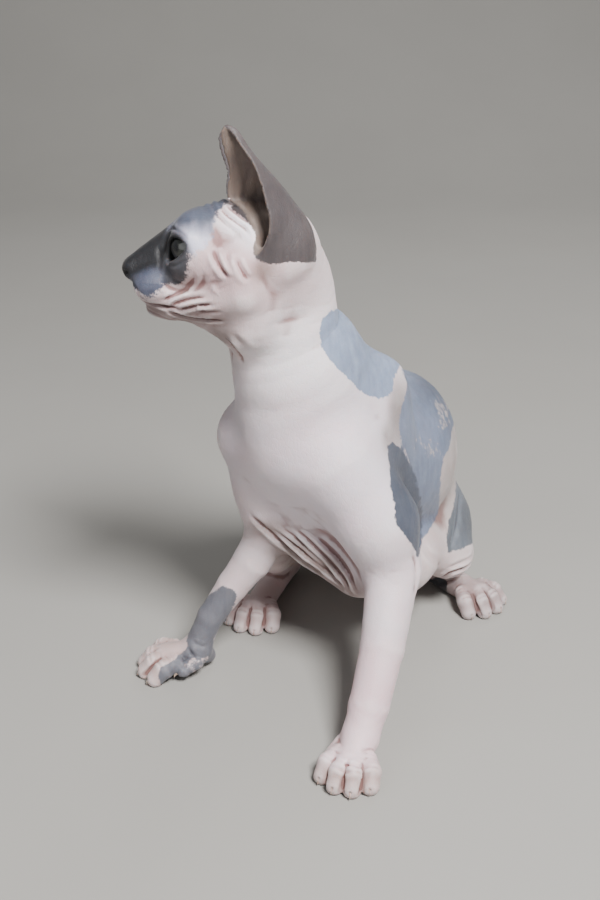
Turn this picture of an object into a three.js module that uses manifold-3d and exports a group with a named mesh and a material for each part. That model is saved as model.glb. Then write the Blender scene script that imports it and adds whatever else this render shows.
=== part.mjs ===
// A life-size sphynx cat, sitting with its forelegs spread and its head turned to its right.
// Millimetres, +Z up. The hips face -Y, the chest faces between -X and -Y, and the face looks along -X.
// The body is one smooth field, a blend of muscles and bones, that is turned into facets piece by piece
// and parted by thin cuts where the limbs, neck and tail begin.
import * as THREE from 'three';
import { mergeVertices } from 'three/addons/utils/BufferGeometryUtils.js';
import Module from 'manifold-3d';

const wasm = await Module();
wasm.setup();

// Driving dimensions
const GAP = 0.3;
const FLOOR_SINK = 1.2;
const EYE_RADIUS = 10.5;
const EAR_THICKNESS = 2.4;
const FORE_TOE_RADIUS = 5.7;
const HIND_TOE_RADIUS = 5.4;
const CENTRE = new THREE.Vector3(-1, -12.5, 0);

const vec = (x, y, z) => new THREE.Vector3(x, y, z);
const mix = (a, b, t) => a + (b - a) * t;
const clamp = (v, low, high) => Math.min(high, Math.max(low, v));
const radians = THREE.MathUtils.degToRad;

// A frame of three unit vectors, forward, left and up, from a turn to the right of -Y, a pitch and a roll
function frameOf(origin, turn, pitch = 0, roll = 0) {
  const forward = vec(-Math.sin(radians(turn)), -Math.cos(radians(turn)), 0);
  const flatLeft = vec(0, 0, 1).cross(forward).normalize();
  forward.applyAxisAngle(flatLeft, -radians(pitch));
  const left = flatLeft.clone().applyAxisAngle(forward, radians(roll));
  const up = forward.clone().cross(left);
  return { origin, forward, left, up };
}

// A point given in a frame, in world space
function place(frame, x, y, z) {
  return frame.origin.clone()
    .addScaledVector(frame.forward, x)
    .addScaledVector(frame.left, y)
    .addScaledVector(frame.up, z);
}

// Smooth union of two distances, with a blend of width k
function blend(a, b, k) {
  const h = Math.max(k - Math.abs(a - b), 0) / k;
  return Math.min(a, b) - h * h * k * 0.25;
}

// Smooth cut of the second shape out of the first
function carve(a, b, k) {
  return -blend(-a, b, k);
}

// A muscle with round ends: a cone between two balls
function cone(a, ra, b, rb, k = 8) {
  const axis = b.clone().sub(a);
  const length = Math.max(axis.length(), 1e-6);
  axis.divideScalar(length);
  const slope = clamp((ra - rb) / length, -0.99, 0.99);
  const lean = Math.sqrt(1 - slope * slope);
  const q = vec(0, 0, 0);
  const distance = (p) => {
    q.copy(p).sub(a);
    const y = q.dot(axis);
    const x = Math.sqrt(Math.max(q.lengthSq() - y * y, 0));
    const along = y * lean - x * slope;
    if (along < 0) return Math.hypot(x, y) - ra;
    if (along > length * lean) return Math.hypot(x, y - length) - rb;
    return x * lean + y * slope - ra;
  };
  const low = a.clone().subScalar(ra).min(b.clone().subScalar(rb));
  const high = a.clone().addScalar(ra).max(b.clone().addScalar(rb));
  return { distance, k, low, high };
}

// An ellipsoid with its half sizes along the frame's forward, left and up
function egg(frame, at, sizes, k = 8, tilt = 0) {
  const centre = place(frame, ...at);
  const forward = frame.forward.clone().applyAxisAngle(frame.left, radians(tilt));
  const up = frame.up.clone().applyAxisAngle(frame.left, radians(tilt));
  const q = vec(0, 0, 0);
  const distance = (p) => {
    q.copy(p).sub(centre);
    const f = q.dot(forward) / sizes[0];
    const l = q.dot(frame.left) / sizes[1];
    const u = q.dot(up) / sizes[2];
    const near = Math.hypot(f, l, u);
    const steep = Math.hypot(f / sizes[0], l / sizes[1], u / sizes[2]);
    return steep < 1e-9 ? -Math.min(...sizes) : near * (near - 1) / steep;
  };
  const reach = Math.max(...sizes);
  return { distance, k, low: centre.clone().subScalar(reach), high: centre.clone().addScalar(reach) };
}

// A bent body swept through stations [point, half width, half depth, turn of its side], with oval sections
function sweep(stations, k = 12, steps = 4) {
  const pick = (i) => stations[clamp(i, 0, stations.length - 1)];
  const curve = new THREE.CatmullRomCurve3(stations.map((s) => s[0]), false, 'centripetal');
  const rings = [];
  for (let i = 0; i < stations.length - 1; i++) {
    for (let j = 0; j < steps + (i === stations.length - 2 ? 1 : 0); j++) {
      const t = j / steps;
      const ease = t * t * (3 - 2 * t);
      const turn = radians(mix(pick(i)[3], pick(i + 1)[3], ease));
      rings.push({
        point: curve.getPoint((i + t) / (stations.length - 1)),
        wide: mix(pick(i)[1], pick(i + 1)[1], ease),
        deep: mix(pick(i)[2], pick(i + 1)[2], ease),
        side: vec(Math.cos(turn), -Math.sin(turn), 0),
      });
    }
  }
  const q = vec(0, 0, 0);
  const axis = vec(0, 0, 0);
  const distance = (p) => {
    let least = 1e9;
    for (let i = 0; i < rings.length - 1; i++) {
      const a = rings[i];
      const b = rings[i + 1];
      axis.copy(b.point).sub(a.point);
      q.copy(p).sub(a.point);
      const t = clamp(q.dot(axis) / axis.lengthSq(), 0, 1);
      q.addScaledVector(axis, -t);
      const wide = mix(a.wide, b.wide, t);
      const deep = mix(a.deep, b.deep, t);
      const across = q.x * mix(a.side.x, b.side.x, t) + q.y * mix(a.side.y, b.side.y, t);
      const rest = Math.max(q.lengthSq() - across * across, 0);
      const ratio = Math.sqrt(across * across / (wide * wide) + rest / (deep * deep));
      least = Math.min(least, (ratio - 1) * Math.min(wide, deep));
    }
    return least;
  };
  const low = vec(1e9, 1e9, 1e9);
  const high = vec(-1e9, -1e9, -1e9);
  for (const ring of rings) {
    const reach = Math.max(ring.wide, ring.deep);
    low.min(ring.point.clone().subScalar(reach));
    high.max(ring.point.clone().addScalar(reach));
  }
  return { distance, k, low, high };
}

// A round limb through stations [point, radius]; its joints may blend less than its root
function limb(stations, k = 8, joint = k) {
  return stations.slice(1).map(([point, radius], i) => {
    const [start, startRadius] = stations[i];
    return cone(start, startRadius, point, radius, i ? joint : k);
  });
}

const HIPS = frameOf(vec(28, 60, 64), 2);
const CHEST = frameOf(vec(-8, -62, 150), 42);
const HEAD = frameOf(vec(-47, -97, 272), 85, 0, 13);

// Each eye looks forward and a little outward from a ball that fills its lids
const EYE = { x: 27, y: 15.5, z: 0, outward: 27, lid: 1.4, depth: 6.5 };
// The opening between the lids, seen along the gaze: across the face and upward from its inner corner
const EYE_OPENING = [
  [-7.4, -5.4], [-5.2, 1.2], [-0.5, 4.8], [4.8, 4.4], [8.5, 1], [4.7, -3.7], [-0.4, -6.2], [-4.9, -6.8],
];
const eyeFrame = (side) => {
  const out = radians(EYE.outward) * side;
  const forward = HEAD.forward.clone().multiplyScalar(Math.cos(out))
    .addScaledVector(HEAD.left, Math.sin(out));
  const left = HEAD.up.clone().cross(forward).normalize();
  const origin = place(HEAD, EYE.x, side * EYE.y, EYE.z);
  return { origin, forward, left, up: forward.clone().cross(left) };
};

// The loose skin of the breast and belly, from the right armpit past the left elbow to the groin
const LOOSE_SKIN = [
  [vec(-31, -66, 101), 13],
  [vec(-8, -68, 86), 14],
  [vec(16, -74, 73), 15],
  [vec(40, -40, 60), 20],
  [vec(58, -10, 54), 19],
];

// Trunk: one sweep from the base of the neck to the rump, with the blades, breast and loins laid on
function trunk() {
  return [
    sweep([
      [vec(-16, -73, 192), 30, 33, 42],
      [vec(-10, -62, 162), 40, 46, 42],
      [vec(3, -46, 130), 43, 51, 38],
      [vec(23, -16, 112), 43, 51, 22],
      [vec(38, 17, 105), 42.5, 53, 6],
      [vec(36, 48, 82), 42, 48, 0],
      [vec(29, 72, 52), 38, 40, 0],
    ], 14),
    egg(CHEST, [30, 0, 6], [19, 22, 30], 16, 20),
    egg(CHEST, [-20, 22, 16], [24, 14, 30], 18, -18),
    egg(CHEST, [-20, -22, 16], [24, 14, 30], 18, -18),
    egg(HIPS, [-12, 0, -28], [30, 34, 35.5], 14),
    ...limb(LOOSE_SKIN.slice(0, 3), 12),
    ...limb(LOOSE_SKIN.slice(2), 14),
  ];
}

// Neck, from behind the skull to between the shoulders
function neck() {
  return [
    sweep([
      [place(HEAD, -12, 0, -6), 24.5, 26, 80],
      [vec(-31, -87, 244), 25, 29.5, 66],
      [vec(-28, -84, 220), 27, 31, 54],
      [vec(-20, -77, 196), 33, 37, 44],
    ], 12),
    cone(place(HEAD, 17, 0, -29), 12.6, place(HEAD, 0, 0, -36), 18, 8),
  ];
}

// Skull, muzzle, cheeks and jaw in the head's own frame: x to the nose, y to the cat's left, z up
function skull() {
  const at = (x, y, z) => place(HEAD, x, y, z);
  const pieces = [
    egg(HEAD, [-3, 0, -0.3], [27, 24, 23.8], 8),
    egg(HEAD, [14, 0, 4], [19, 19, 16.3], 8),
    cone(at(26, 0, 7), 9.6, at(50, 0, -6), 6.4, 7),
    egg(HEAD, [56.6, 0, -10], [5.4, 6.6, 6], 4),
    egg(HEAD, [36, 0, -13], [17, 13, 13], 8),
    cone(at(45, 0, -28.6), 6.2, at(18, 0, -26), 13, 7),
    egg(HEAD, [4, 0, -20], [22, 20, 18], 10),
  ];
  for (const side of [1, -1]) {
    pieces.push(
      egg(HEAD, [25, side * 11.5, 10], [9.5, 8.5, 7], 6),
      egg(HEAD, [EYE.x, side * EYE.y, EYE.z], [1, 1, 1].map((n) => n * (EYE_RADIUS + EYE.lid)), 4),
      egg(HEAD, [46, side * 7.5, -18.5], [10.5, 9, 8.8], 5),
      cone(at(31, side * 15, -8), 7, at(6, side * 22, -9), 9.5, 8),
      cone(at(38, side * 6, -28), 5, at(4, side * 18, -22), 10, 8),
    );
  }
  return pieces;
}

// The bowl that the ear grows from
function earBase(side) {
  return [egg(HEAD, [-17, side * 19, 2], [14, 9, 17], 8)];
}

// A leg, as two or three cones with a joint's own bump, down to its foot
const LEFT_FORE = {
  arm: [
    [vec(-2, -92, 152), 24],
    [vec(23, -95, 114), 20],
    [vec(32, -97, 86), 15.5],
  ],
  forearm: [
    [vec(32.5, -98, 85), 15],
    [vec(25.5, -128, 53), 12.2],
    [vec(17.5, -149, 29), 11],
    [vec(13, -159, 17), 9.8],
  ],
  foot: { wrist: vec(12, -160, 15), heading: 19, length: 34, spread: 25, toe: FORE_TOE_RADIUS, thumb: -1 },
};
const RIGHT_FORE = {
  arm: [
    [vec(-46, -62, 152), 21],
    [vec(-38, -60, 118), 17],
    [vec(-37, -60, 94), 14],
  ],
  forearm: [
    [vec(-37, -60.5, 91), 13.2],
    [vec(-48, -64, 71.5), 11.2],
    [vec(-60, -67, 56), 9.2],
    [vec(-73.5, -71.5, 37), 7.9],
    [vec(-81, -74, 20), 7.6],
  ],
  foot: { wrist: vec(-82, -74, 14), heading: 84, length: 37, spread: 26, toe: FORE_TOE_RADIUS, thumb: 1 },
};
const LEFT_HIND = {
  thigh: [
    [vec(50, 54, 62), 31],
    [vec(64, 18, 54), 25],
    [vec(76, -5, 44), 15.5],
  ],
  shank: [
    [vec(75, -3, 40), 14],
    [vec(66, 24, 24), 11],
    [vec(61, 44, 14), 9],
  ],
  foot: { wrist: vec(61, 44, 10), heading: -37, length: 77, spread: 27, toe: HIND_TOE_RADIUS, thumb: 0 },
};
const RIGHT_HIND = {
  thigh: [
    [vec(7, 54, 62), 30],
    [vec(-18, 16, 57), 23],
    [vec(-36, -10, 50), 14.5],
  ],
  shank: [
    [vec(-37, -9, 46), 13],
    [vec(-34, 14, 28), 10.5],
    [vec(-30, 36, 14), 9],
  ],
  foot: { wrist: vec(-30, 37, 10), heading: 18, length: 80, spread: 27, toe: HIND_TOE_RADIUS, thumb: 0 },
};

// A foot: its sole, four toes that fan out, and on a forefoot the thumb's claw
function foot({ wrist, heading, length, spread, toe, thumb }) {
  const frame = frameOf(vec(wrist.x, wrist.y, 0), heading);
  const at = (x, y, z) => place(frame, x, y, z);
  const hind = thumb === 0;
  const ball = length - 17;
  const pieces = [
    cone(at(0, 0, wrist.z), hind ? 9 : 8.6, at(ball, 0, 9.4), 8.4, 6),
    egg(frame, [ball - 1, 0, 8.4], [10.5, spread * 0.45, 7.2], 5),
  ];
  if (hind) pieces.push(egg(frame, [-7, 0, 10], [9, 8, 10.5], 6));
  for (const [across, reach] of [[-0.5, -5.5], [-0.18, 0], [0.18, 0], [0.5, -5.5]]) {
    const fan = across * spread;
    const tip = length - toe + reach;
    const root = at(ball - 4 + reach * 0.4, fan * 0.66, 12);
    const knuckle = at(tip - 5, fan * 0.94, 10.2);
    pieces.push(
      cone(root, toe * 0.86, knuckle, toe * 0.98, 1.8),
      cone(knuckle, toe * 0.98, at(tip, fan * 1.04, toe * 0.92), toe * 0.9, 1.2),
    );
  }
  if (thumb) {
    pieces.push(cone(at(1, thumb * 8.5, 12), 4.6, at(9, thumb * 12.5, 9), 3.9, 2));
    pieces.push(egg(frame, [-6, -thumb * 3, 9], [5, 5, 5], 3));
  }
  return pieces;
}

// The tail lies on the floor behind the rump
const TAIL = [
  [vec(26, 92, 30), 15],
  [vec(25, 112, 15), 11],
  [vec(20, 136, 9), 8.6],
  [vec(4, 156, 7.2), 7.4],
  [vec(-20, 160, 6), 6.2],
  [vec(-38, 146, 5), 5.2],
  [vec(-42, 122, 4.2), 4.4],
  [vec(-32, 104, 3.6), 3.6],
];
const TAIL_STEPS = 3;

// The tail's stations, with as many more between each two as make it bend smoothly
function tail() {
  const curve = new THREE.CatmullRomCurve3(TAIL.map(([point]) => point), false, 'centripetal');
  const spans = TAIL.length - 1;
  return Array.from({ length: spans * TAIL_STEPS + 1 }, (_, n) => {
    const i = Math.min(Math.floor(n / TAIL_STEPS), spans - 1);
    const radius = mix(TAIL[i][1], TAIL[i + 1][1], n / TAIL_STEPS - i);
    return [curve.getPoint(n / (spans * TAIL_STEPS)), radius];
  });
}

const FLESH = [
  ...trunk(), ...neck(), ...skull(), ...earBase(1), ...earBase(-1),
  ...limb(tail(), 6, 1),
];
for (const leg of [LEFT_FORE, RIGHT_FORE]) {
  FLESH.push(...limb(leg.arm, 14), ...limb(leg.forearm, 6, 1.5), ...foot(leg.foot));
}
for (const leg of [LEFT_HIND, RIGHT_HIND]) {
  FLESH.push(...limb(leg.thigh, 14), ...limb(leg.shank, 6, 2), ...foot(leg.foot));
}

// An ear as a scoop, in the head's frame: its front edge, its back and its outer edge, from root to tip
const EAR = {
  front: [[-6, 22, -4], [-5, 21.5, 3], [-4, 21, 11], [1, 17, 18], [7.5, 13.5, 23], [8, 14.5, 28],
    [7.2, 19, 36], [9.8, 26, 46], [10.8, 30, 53.5]],
  back: [[-29, 16, -9], [-30.8, 17, -2], [-29.5, 16.8, 7], [-25.5, 16.5, 15], [-20, 17, 23],
    [-13.5, 19.5, 30.5], [-5, 23.5, 39.5], [0.5, 27.5, 47], [5, 30.3, 54.4]],
  outer: [[-7, 25, -6], [-8.6, 30, 1], [-10.2, 32.6, 7], [-10.6, 33.8, 13.5], [-9, 34, 20],
    [-7, 33.7, 28.5], [-3.5, 33.2, 38.5], [1.3, 32.6, 46], [7, 31.6, 54.2]],
};
const EAR_TIP = [9.3, 31, 56.3];

// The ear's middle surface: s runs from the root to the tip, u from the front edge round to the outer edge
function earSurface(side) {
  const curves = ['front', 'back', 'outer'].map((name) => new THREE.CatmullRomCurve3(
    [...EAR[name], EAR_TIP].map(([x, y, z]) => place(HEAD, x, side * y, z)), false, 'centripetal'));
  return (s, u) => {
    const [front, back, outer] = curves.map((curve) => curve.getPoint(clamp(s, 0, 1)));
    return front.multiplyScalar((1 - u) * (1 - 2 * u))
      .addScaledVector(back, 4 * u * (1 - u))
      .addScaledVector(outer, u * (2 * u - 1));
  };
}

// Distance to the flesh, negative inside
const REACH = 24;
function flesh(p) {
  let found = 60;
  for (const piece of FLESH) {
    if (p.x < piece.low.x - REACH || p.x > piece.high.x + REACH) continue;
    if (p.y < piece.low.y - REACH || p.y > piece.high.y + REACH) continue;
    if (p.z < piece.low.z - REACH || p.z > piece.high.z + REACH) continue;
    found = blend(found, piece.distance(p), piece.k);
  }
  return found;
}

// Fills the corner of any square or cube of grid points that would leave two facets touching along one edge
function untangle(values, [nx, ny, nz]) {
  const steps = [1, nx, nx * ny];
  const squares = [[0, 1], [1, 2], [0, 2]].map(([a, b]) => [0, steps[a], steps[a] + steps[b], steps[b]]);
  const diagonals = [0, 1, 2, 3].map((c) => {
    const start = (c & 1) * steps[0] + (c >> 1) * steps[1];
    return [start, steps[0] + steps[1] - start + steps[2]];
  });
  const cube = [0, 1, 2, 3, 4, 5, 6, 7]
    .map((c) => (c & 1) * steps[0] + ((c >> 1) & 1) * steps[1] + (c >> 2) * steps[2]);
  const fill = (spots) => {
    const open = spots.filter((n) => values[n] >= 0).sort((a, b) => values[a] - values[b]);
    values[open[0]] = -1e-3;
  };
  for (let changed = true, round = 0; changed && round < 30; round++) {
    changed = false;
    for (let k = 0; k < nz - 1; k++) {
      for (let j = 0; j < ny - 1; j++) {
        for (let i = 0; i < nx - 1; i++) {
          const base = i + nx * (j + ny * k);
          for (const square of squares) {
            const [a, b, c, d] = square.map((n) => values[base + n] < 0);
            if (a === c && b === d && a !== b) {
              fill(square.map((n) => base + n));
              changed = true;
            }
          }
          const corners = cube.map((n) => base + n);
          const solid = corners.filter((n) => values[n] < 0);
          const open = corners.filter((n) => values[n] >= 0);
          for (const pair of [solid, open]) {
            if (pair.length !== 2) continue;
            if (diagonals.some(([a, b]) => pair.includes(base + a) && pair.includes(base + b))) {
              fill(pair === open ? open : corners);
              changed = true;
            }
          }
        }
      }
    }
  }
}

// Facets of a field inside an oriented block of cells, with each vertex pulled onto the field's surface
function facets(field, block) {
  const { centre, size, cell, axes } = block;
  const counts = size.map((s, i) => Math.ceil(s / cell[i]) + 2);
  const [nx, ny, nz] = counts.map((c) => c + 1);
  const corner = (i, j, k) => centre.clone()
    .addScaledVector(axes[0], (i - (nx - 1) / 2) * cell[0])
    .addScaledVector(axes[1], (j - (ny - 1) / 2) * cell[1])
    .addScaledVector(axes[2], (k - (nz - 1) / 2) * cell[2]);
  const values = new Float64Array(nx * ny * nz);
  const index = (i, j, k) => i + nx * (j + ny * k);
  for (let k = 0; k < nz; k++) {
    for (let j = 0; j < ny; j++) {
      for (let i = 0; i < nx; i++) {
        const edge = i === 0 || j === 0 || k === 0 || i === nx - 1 || j === ny - 1 || k === nz - 1;
        values[index(i, j, k)] = edge ? 5 : field(corner(i, j, k));
      }
    }
  }
  untangle(values, [nx, ny, nz]);
  const vertex = new Map();
  const positions = [];
  const CORNERS = [0, 1, 2, 3, 4, 5, 6, 7].map((c) => [c & 1, (c >> 1) & 1, (c >> 2) & 1]);
  const gradient = (p) => {
    const step = 0.25;
    const slope = (dx, dy, dz) => field(vec(p.x + dx, p.y + dy, p.z + dz))
      - field(vec(p.x - dx, p.y - dy, p.z - dz));
    return vec(slope(step, 0, 0), slope(0, step, 0), slope(0, 0, step)).divideScalar(2 * step);
  };
  for (let k = 0; k < nz - 1; k++) {
    for (let j = 0; j < ny - 1; j++) {
      for (let i = 0; i < nx - 1; i++) {
        const at = CORNERS.map(([a, b, c]) => values[index(i + a, j + b, k + c)]);
        const inside = at.filter((v) => v < 0).length;
        if (inside === 0 || inside === 8) continue;
        const sum = [0, 0, 0];
        let crossings = 0;
        for (let a = 0; a < 8; a++) {
          for (const bit of [1, 2, 4]) {
            const b = a | bit;
            if (a & bit || (at[a] < 0) === (at[b] < 0)) continue;
            const t = at[a] / (at[a] - at[b]);
            for (let n = 0; n < 3; n++) sum[n] += mix(CORNERS[a][n], CORNERS[b][n], t);
            crossings++;
          }
        }
        const p = corner(i + sum[0] / crossings, j + sum[1] / crossings, k + sum[2] / crossings);
        const onEdge = i === 0 || j === 0 || k === 0 || i === nx - 2 || j === ny - 2 || k === nz - 2;
        for (let pull = 0; pull < 3 && !onEdge; pull++) {
          const slope = gradient(p);
          const limit = Math.min(...cell) * 0.4;
          const move = clamp(field(p) / Math.max(slope.lengthSq(), 0.05), -limit, limit);
          p.addScaledVector(slope, -move);
        }
        vertex.set(index(i, j, k), positions.length / 3);
        positions.push(p.x, p.y, p.z);
      }
    }
  }
  const faces = [];
  const quad = (a, b, c, d, flip) => {
    const [p, q, r, s] = [a, b, c, d].map((n) => vertex.get(n));
    const spot = (n) => vec(positions[3 * n], positions[3 * n + 1], positions[3 * n + 2]);
    const ring = flip ? [p, s, r, q] : [p, q, r, s];
    const short = spot(ring[0]).distanceTo(spot(ring[2])) < spot(ring[1]).distanceTo(spot(ring[3]));
    const cut = short ? [0, 1, 2, 0, 2, 3] : [1, 2, 3, 1, 3, 0];
    for (const n of cut) faces.push(ring[n]);
  };
  for (let k = 0; k < nz - 1; k++) {
    for (let j = 0; j < ny - 1; j++) {
      for (let i = 0; i < nx - 1; i++) {
        const here = values[index(i, j, k)] < 0;
        if (j && k && here !== values[index(i + 1, j, k)] < 0) {
          quad(index(i, j - 1, k - 1), index(i, j, k - 1), index(i, j, k), index(i, j - 1, k), !here);
        }
        if (i && k && here !== values[index(i, j + 1, k)] < 0) {
          quad(index(i - 1, j, k - 1), index(i - 1, j, k), index(i, j, k), index(i, j, k - 1), !here);
        }
        if (i && j && here !== values[index(i, j, k + 1)] < 0) {
          quad(index(i - 1, j - 1, k), index(i, j - 1, k), index(i, j, k), index(i - 1, j, k), !here);
        }
      }
    }
  }
  return new wasm.Manifold(new wasm.Mesh({
    numProp: 3,
    vertProperties: new Float32Array(positions),
    triVerts: new Uint32Array(faces),
  }));
}

// A closed three.js geometry as a solid
function solid(geometry) {
  const bare = geometry.index ? geometry.toNonIndexed() : geometry.clone();
  for (const name of Object.keys(bare.attributes)) {
    if (name !== 'position') bare.deleteAttribute(name);
  }
  const merged = mergeVertices(bare, 1e-4);
  return new wasm.Manifold(new wasm.Mesh({
    numProp: 3,
    vertProperties: new Float32Array(merged.attributes.position.array),
    triVerts: new Uint32Array(merged.index.array),
  }));
}

// A big block that fills the side of a plane that its normal points to
const BIG = 500;
function halfSpace(point, normal, gap = 0) {
  const out = normal.clone().normalize();
  const turn = new THREE.Quaternion().setFromUnitVectors(vec(0, 0, 1), out);
  const box = new THREE.BoxGeometry(BIG, BIG, BIG).translate(0, 0, BIG / 2).applyQuaternion(turn);
  const start = point.clone().addScaledVector(out, gap);
  return solid(box.translate(start.x, start.y, start.z));
}

// The half space on each side of a cut: keep what lies beyond it, or what lies before it
const beyond = (body, point, normal) => body.intersect(halfSpace(point, normal, GAP / 2));
const before = (body, point, normal) => body.subtract(halfSpace(point, normal, -GAP / 2));

const UPRIGHT = [vec(1, 0, 0), vec(0, 1, 0), vec(0, 0, 1)];
const box = (low, high, cell) => ({
  centre: low.clone().add(high).multiplyScalar(0.5),
  size: high.clone().sub(low).toArray(),
  cell,
  axes: UPRIGHT,
});
// An ear as a closed shell around its middle surface, thinner towards its edges
function earShell(side, rows = 11, columns = 7) {
  const surface = earSurface(side);
  const positions = [];
  const faces = [];
  const grid = [[], []];
  for (const layer of [0, 1]) {
    for (let i = 0; i <= rows; i++) {
      for (let j = 0; j <= columns; j++) {
        const s = (i / rows) * 0.985;
        const u = j / columns;
        const up = surface(s + 0.005, u).sub(surface(s, u));
        const across = surface(s, Math.min(u + 0.005, 1)).sub(surface(s, Math.max(u - 0.005, 0)));
        const rim = Math.min(1, Math.min(u, 1 - u) * 3 + 0.3);
        const out = up.cross(across).setLength(rim * EAR_THICKNESS * 0.5 * (layer ? 1 : -1));
        const p = surface(s, u).add(out);
        grid[layer].push(positions.length / 3);
        positions.push(p.x, p.y, p.z);
      }
    }
  }
  const quad = (a, b, c, d) => faces.push(a, b, c, a, c, d);
  const id = (layer, i, j) => grid[layer][i * (columns + 1) + j];
  for (let i = 0; i < rows; i++) {
    for (let j = 0; j < columns; j++) {
      quad(id(0, i, j), id(0, i, j + 1), id(0, i + 1, j + 1), id(0, i + 1, j));
      quad(id(1, i, j), id(1, i + 1, j), id(1, i + 1, j + 1), id(1, i, j + 1));
    }
    quad(id(0, i, 0), id(0, i + 1, 0), id(1, i + 1, 0), id(1, i, 0));
    quad(id(0, i, columns), id(1, i, columns), id(1, i + 1, columns), id(0, i + 1, columns));
  }
  for (let j = 0; j < columns; j++) {
    quad(id(0, 0, j), id(1, 0, j), id(1, 0, j + 1), id(0, 0, j + 1));
    quad(id(0, rows, j), id(0, rows, j + 1), id(1, rows, j + 1), id(1, rows, j));
  }
  return new wasm.Manifold(new wasm.Mesh({
    numProp: 3,
    vertProperties: new Float32Array(positions),
    triVerts: new Uint32Array(faces),
  }));
}

// The biggest single body of a cut solid
const largest = (body) => body.decompose().sort((a, b) => b.volume() - a.volume())[0];

// A prism as wide as the lids' opening, along the gaze from behind the eye's front to well outside it
function eyeOpening(side, grow = 0) {
  const frame = eyeFrame(side);
  const outline = new THREE.Shape();
  const spots = EYE_OPENING.map(([a, b]) => new THREE.Vector2(side * a, b).multiplyScalar(1 + grow / 6));
  outline.setFromPoints(new THREE.SplineCurve([...spots, spots[0]]).getPoints(16).slice(0, -1));
  const prism = new THREE.ExtrudeGeometry(outline, { depth: 14, bevelEnabled: false });
  const basis = new THREE.Matrix4().makeBasis(frame.left, frame.up, frame.forward);
  const start = place(frame, EYE_RADIUS - EYE.depth - grow, 0, 0);
  prism.applyMatrix4(basis.setPosition(start));
  return solid(prism);
}

// The eye's front as a plug in that opening
function eye(side) {
  const { left, up, forward, origin } = eyeFrame(side);
  const basis = new THREE.Matrix4().makeBasis(left, forward, up.clone().negate()).setPosition(origin);
  const ball = new THREE.SphereGeometry(EYE_RADIUS, 16, 10).applyMatrix4(basis);
  return eyeOpening(side).intersect(solid(ball));
}

// The planes of the cuts, each a point and the way that points out of the body's earlier piece
const CUT = {
  nape: [
    place(HEAD, -9, 0, -24),
    HEAD.forward.clone().multiplyScalar(-0.66).addScaledVector(HEAD.up, -0.75),
  ],
  withers: [vec(-19, -77, 198), vec(0.28, 0.34, -0.9)],
  waist: [vec(22, -16, 112), vec(0.45, 0.85, -0.25)],
  leftArm: [vec(26, -96, 102), vec(0.27, -0.07, -0.96)],
  leftWrist: [vec(14.5, -156, 22), vec(-0.25, -0.5, -0.83)],
  rightArm: [vec(-38, -60, 106), vec(-0.1, -0.05, -1)],
  rightWrist: [vec(-79, -73.5, 24), vec(-0.5, -0.1, -0.86)],
  leftHip: [vec(58, 30, 60), vec(0.92, -0.1, -0.38)],
  rightHip: [vec(-1, 30, 60), vec(-0.92, -0.1, -0.38)],
  leftHock: [vec(64, 30, 19), vec(0, 0, -1)],
  rightHock: [vec(-32, 20, 19), vec(0, 0, -1)],
  tailRoot: [vec(26, 104, 22), vec(-0.04, 0.8, -0.6)],
};
// Bounds that keep each leg's cut away from the rest of the body
const LEFT_FORE_BOUNDS = [[vec(6, -100, 90), vec(0.955, 0, -0.297)], [vec(0, -76, 0), vec(0, -1, 0)]];
const RIGHT_FORE_BOUNDS = [[vec(-16, 0, 100), vec(-0.894, 0, 0.447)], [vec(0, -45, 0), vec(0, -1, 0)]];
const LEFT_HIND_BOUNDS = [[vec(0, -45, 0), vec(0, 1, 0)]];
const RIGHT_HIND_BOUNDS = [
  [vec(0, -45, 0), vec(0, 1, 0)],
  [vec(-30, -20, 71), vec(0, 0.45, -0.9)],
];

// The space bounded by some cuts, drawn in or out by half a gap
const space = (cuts, gap) => cuts.map(([point, normal]) => halfSpace(point, normal, gap))
  .reduce((all, part) => all.intersect(part));
const inner = (cuts) => space(cuts, GAP / 2);
const outer = (cuts) => space(cuts, -GAP / 2);
const ground = halfSpace(vec(0, 0, FLOOR_SINK), vec(0, 0, 1));

const LEFT_FORE_SPACE = [CUT.leftArm, ...LEFT_FORE_BOUNDS];
const RIGHT_FORE_SPACE = [CUT.rightArm, ...RIGHT_FORE_BOUNDS];
const LEFT_HIND_SPACE = [CUT.leftHip, ...LEFT_HIND_BOUNDS];
const RIGHT_HIND_SPACE = [CUT.rightHip, ...RIGHT_HIND_BOUNDS];
const LIMB_SPACES = [LEFT_FORE_SPACE, RIGHT_FORE_SPACE, LEFT_HIND_SPACE, RIGHT_HIND_SPACE];

const region = (low, high, cell) => facets(flesh, box(low, high, [cell, cell, cell])).intersect(ground);
const swell = (p) => flesh(p) - GAP;

const solids = {};

// Head, with the eyes let into it and the ears standing on it
const headBox = box(vec(-125, -145, 208), vec(-2, -45, 306), [7, 7, 7]);
const skin = facets(flesh, headBox);
const grownSkin = facets(swell, headBox);
solids.head = largest(before(skin, ...CUT.nape)
  .subtract(eyeOpening(1, GAP)).subtract(eyeOpening(-1, GAP)));
solids.left_eye = eye(1);
solids.right_eye = eye(-1);
solids.left_ear = largest(before(earShell(1), ...CUT.nape).subtract(grownSkin));
solids.right_ear = largest(before(earShell(-1), ...CUT.nape).subtract(grownSkin));

// Neck, chest and hindquarters
solids.neck = largest(before(beyond(
  region(vec(-80, -140, 165), vec(30, -30, 290), 11.5), ...CUT.nape), ...CUT.withers));
const limbsOut = (body, spaces) => spaces.reduce((rest, cuts) => rest.subtract(outer(cuts)), body);
solids.chest = largest(limbsOut(before(beyond(
  region(vec(-80, -150, 25), vec(90, 40, 230), 13.5), ...CUT.withers), ...CUT.waist), LIMB_SPACES));
solids.hindquarters = largest(before(limbsOut(beyond(
  region(vec(-50, -75, -2), vec(110, 130, 180), 15), ...CUT.waist), LIMB_SPACES), ...CUT.tailRoot));

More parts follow.
